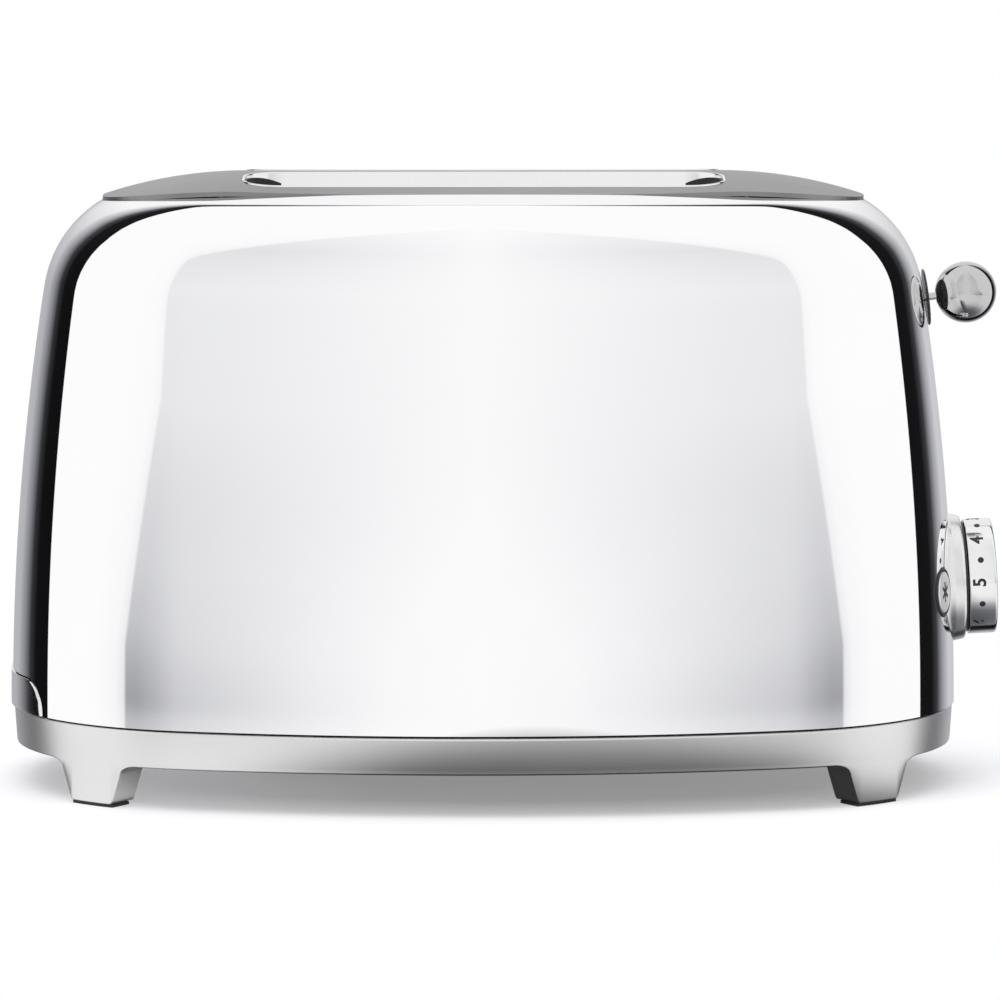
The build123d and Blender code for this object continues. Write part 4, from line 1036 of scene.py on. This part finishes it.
def room_light(tree):
    """What polished metal sees: a white tent, grey flanks, and a black edge round its rear opening."""

    def calc(operation, *values):
        return maths(tree, operation, *values)

    def curve(value, stops, high=None):
        return ramp_node(tree, value, stops, high)

    def blend(share, first, second):
        return calc("ADD", calc("MULTIPLY", first, calc("SUBTRACT", 1.0, share)),
                    calc("MULTIPLY", second, share))

    # Directions in degrees: sideways from the front, above the horizon, and round the front to back line
    direction = tree.nodes.new("ShaderNodeTexCoord").outputs["Generated"]
    x, y, z = new_node(tree, "ShaderNodeSeparateXYZ", {0: direction}).outputs
    aside = calc("ABSOLUTE", x)
    to_front = calc("MULTIPLY", y, -1.0)
    azimuth = calc("DEGREES", calc("ARCTAN2", aside, to_front))
    rise_angle = calc("DEGREES", calc("ARCSINE", z))
    from_front = calc("DEGREES", calc("ARCCOSINE", to_front))
    upright = calc("DEGREES", calc("ARCTAN2", calc("MAXIMUM", z, 0.0), aside))

    # The front half: white, with a grey flank at each side that ends in a slanted edge
    edge_shift = curve(rise_angle, [(-4, 0.0), (8, 0.157)])
    edge_place = calc("ADD", azimuth, calc("MULTIPLY", edge_shift, ramp_degrees))
    grey_flank = curve(edge_place, [(0, 0.02), (10, 0.06), (18, 0.2), (26, 0.4), (34, 0.6), (44, 0.84), (54, 1.0),
                                    (60, 1.0), (61.5, 0.3), (66, 0.1), (80, 0.0)], 120)
    flank_depth = curve(rise_angle, [(-14, 0.05), (-9, 0.15), (-6.5, 0.62), (-5, 0.55), (-3, 0.42), (0, 0.32),
                                     (4, 0.26), (8, 0.17), (20, 0.14), (60, 0.2), (90, 0.0)])
    low_fade = curve(rise_angle, [(-90, 0.12), (-66, 0.2), (-54, 0.42), (-44, 0.78), (-36, 0.95), (-28, 1.0),
                                  (0, 1.0)])
    front = calc("MULTIPLY", calc("SUBTRACT", 1.0, calc("MULTIPLY", grey_flank, flank_depth)), low_fade)

    # The rear half: a black edge all round, then grey sides under a bright top
    edge_width = curve(upright, [(0, 0.195), (25, 0.19), (45, 0.15), (65, 0.08), (80, 0.02), (88, 0.002)], 90)
    edge_climb = curve(upright, [(0, 0.0), (40, 0.01), (65, 0.05), (90, 0.13)])
    past_front = calc("SUBTRACT", from_front, calc("MULTIPLY", edge_climb, ramp_degrees))
    across = calc("DIVIDE", calc("SUBTRACT", past_front, rear_start), calc("MULTIPLY", edge_width, ramp_degrees))
    past_edge = curve(across, [(0, 0.012), (0.62, 0.014), (0.95, 0.08), (1.35, 0.55), (1.9, 1.0)], 3)
    right = curve(x, [(-0.6, 0.0), (-0.25, 0.2), (0.25, 0.8), (0.6, 1.0)])
    overhead = curve(upright, [(0, 0.0), (25, 0.25), (60, 1.0), (90, 1.0)])
    rear = calc("MULTIPLY", past_edge, blend(overhead, blend(right, rear_left, rear_right), rear_top))
    beyond = curve(past_front, [(rear_start - 0.2, 0.0), (rear_start + 0.2, 1.0)])
    return blend(beyond, front, rear)


def studio_world():
    """White behind the toaster, an even light on it, and the room in what mirrors."""
    world = bpy.data.worlds.new("studio")
    bpy.context.scene.world = world
    world.use_nodes = True
    tree = world.node_tree
    tree.nodes.clear()
    room = room_light(tree)
    tint = new_node(tree, "ShaderNodeMix", {
        "Factor": room, "A": room_tint, "B": colour(1)}, data_type="RGBA").outputs["Result"]
    shown, lit, plain = [
        new_node(tree, "ShaderNodeBackground", {"Color": shade, "Strength": level}).outputs[0]
        for shade, level in ((tint, room), (colour(1), even_light), (colour(1), 1.0))]
    ray = tree.nodes.new("ShaderNodeLightPath").outputs
    mirrored = maths(tree, "MAXIMUM", ray["Is Glossy Ray"], ray["Is Transmission Ray"])
    unseen = mixed_shader(tree, mirrored, lit, shown)
    new_node(tree, "ShaderNodeOutputWorld", {
        "Surface": mixed_shader(tree, ray["Is Camera Ray"], unseen, plain)})


def studio_floor(reach=40.0):
    """A pale floor that fades to white round the toaster; close to it, mirrors see a painted shadow in place of
    the floor.
    """
    mesh = bpy.data.meshes.new("floor")
    mesh.from_pydata([(-reach, -reach, 0), (reach, -reach, 0), (reach, reach, 0), (-reach, reach, 0)], [],
                     [(0, 1, 2, 3)])
    floor = bpy.data.objects.new("floor", mesh)
    bpy.context.scene.collection.objects.link(floor)
    material = bpy.data.materials.new("pale_floor")
    material.use_nodes = True
    tree = material.node_tree
    shader = tree.nodes["Principled BSDF"]
    shader.inputs["Base Color"].default_value = (0.92, 0.925, 0.97, 1)
    shader.inputs["Roughness"].default_value = 0.9
    shader.inputs["Specular IOR Level"].default_value = 0.1
    place = tree.nodes.new("ShaderNodeTexCoord").outputs["Object"]
    ray = tree.nodes.new("ShaderNodeLightPath").outputs

    def distance(scale, location=(0, 0, 0)):
        """How far a place on the floor is from the middle, with each direction scaled."""
        scaled = new_node(tree, "ShaderNodeMapping", {"Vector": place, "Scale": scale, "Location": location})
        return new_node(tree, "ShaderNodeVectorMath", {0: scaled.outputs["Vector"]},
                        operation="LENGTH").outputs["Value"]

    fade = ramp_node(tree, distance((0.5, 1.0, 1.0)), [(0.0, 0.26), (0.06, 0.28), (0.085, 0.42), (0.105, 0.66),
                                                       (0.13, 0.87), (0.18, 1.0)], 0.3)
    white = tree.nodes.new("ShaderNodeEmission").outputs[0]
    seen = mixed_shader(tree, maths(tree, "MULTIPLY", fade, ray["Is Camera Ray"]), shader.outputs[0], white)
    # Painted shadow: close to the toaster, mirrors see a dark emission of 0.035 in place of the floor's shadow;
    # farther out they see through to the room.
    clear = ramp_node(tree, distance((7.6, 3.3, 1.0), (-0.2, 0.0, 0.0)), [(0.0, 0.0), (0.68, 0.0), (0.85, 0.3),
                                                                          (1.1, 1.0)], 1.2)
    dark = new_node(tree, "ShaderNodeEmission", {"Color": colour(0.035)}).outputs[0]
    mirrored = mixed_shader(tree, clear, dark, tree.nodes.new("ShaderNodeBsdfTransparent").outputs[0])
    tree.links.new(mixed_shader(tree, ray["Is Glossy Ray"], seen, mirrored),
                   tree.nodes["Material Output"].inputs["Surface"])
    mesh.materials.append(material)


def aimed(holder, place, aim):
    """Put a lamp or camera at a place, looking at another."""
    holder.location = place
    holder.rotation_euler = (Vector(aim) - Vector(place)).to_track_quat("-Z", "Y").to_euler()
    bpy.context.scene.collection.objects.link(holder)
    return holder


def soft_lamp(name, place, size, power, aim=(0, 0, 0.05)):
    lamp = bpy.data.lights.new(name, "AREA")
    lamp.shape = "RECTANGLE"
    lamp.size, lamp.size_y = size
    lamp.energy = power
    aimed(bpy.data.objects.new(name, lamp), place, aim).visible_glossy = False


studio_world()
studio_floor()
soft_lamp("key_lamp", (-0.5, -0.5, 1.6), (1.2, 1.2), 16)
soft_lamp("top_lamp", (0.3, 0.3, 1.7), (1.6, 1.2), 14)

camera_data = bpy.data.cameras.new("camera")
camera_data.lens = 218.88
camera_data.sensor_width = 36
camera_place = (-0.02183, -2.0, 0.3028)
camera_aim = (-0.00133, 0, 0.09145)
camera = aimed(bpy.data.objects.new("camera", camera_data), camera_place, camera_aim)
bpy.context.scene.camera = camera
bpy.context.scene.view_settings.view_transform = "Standard"
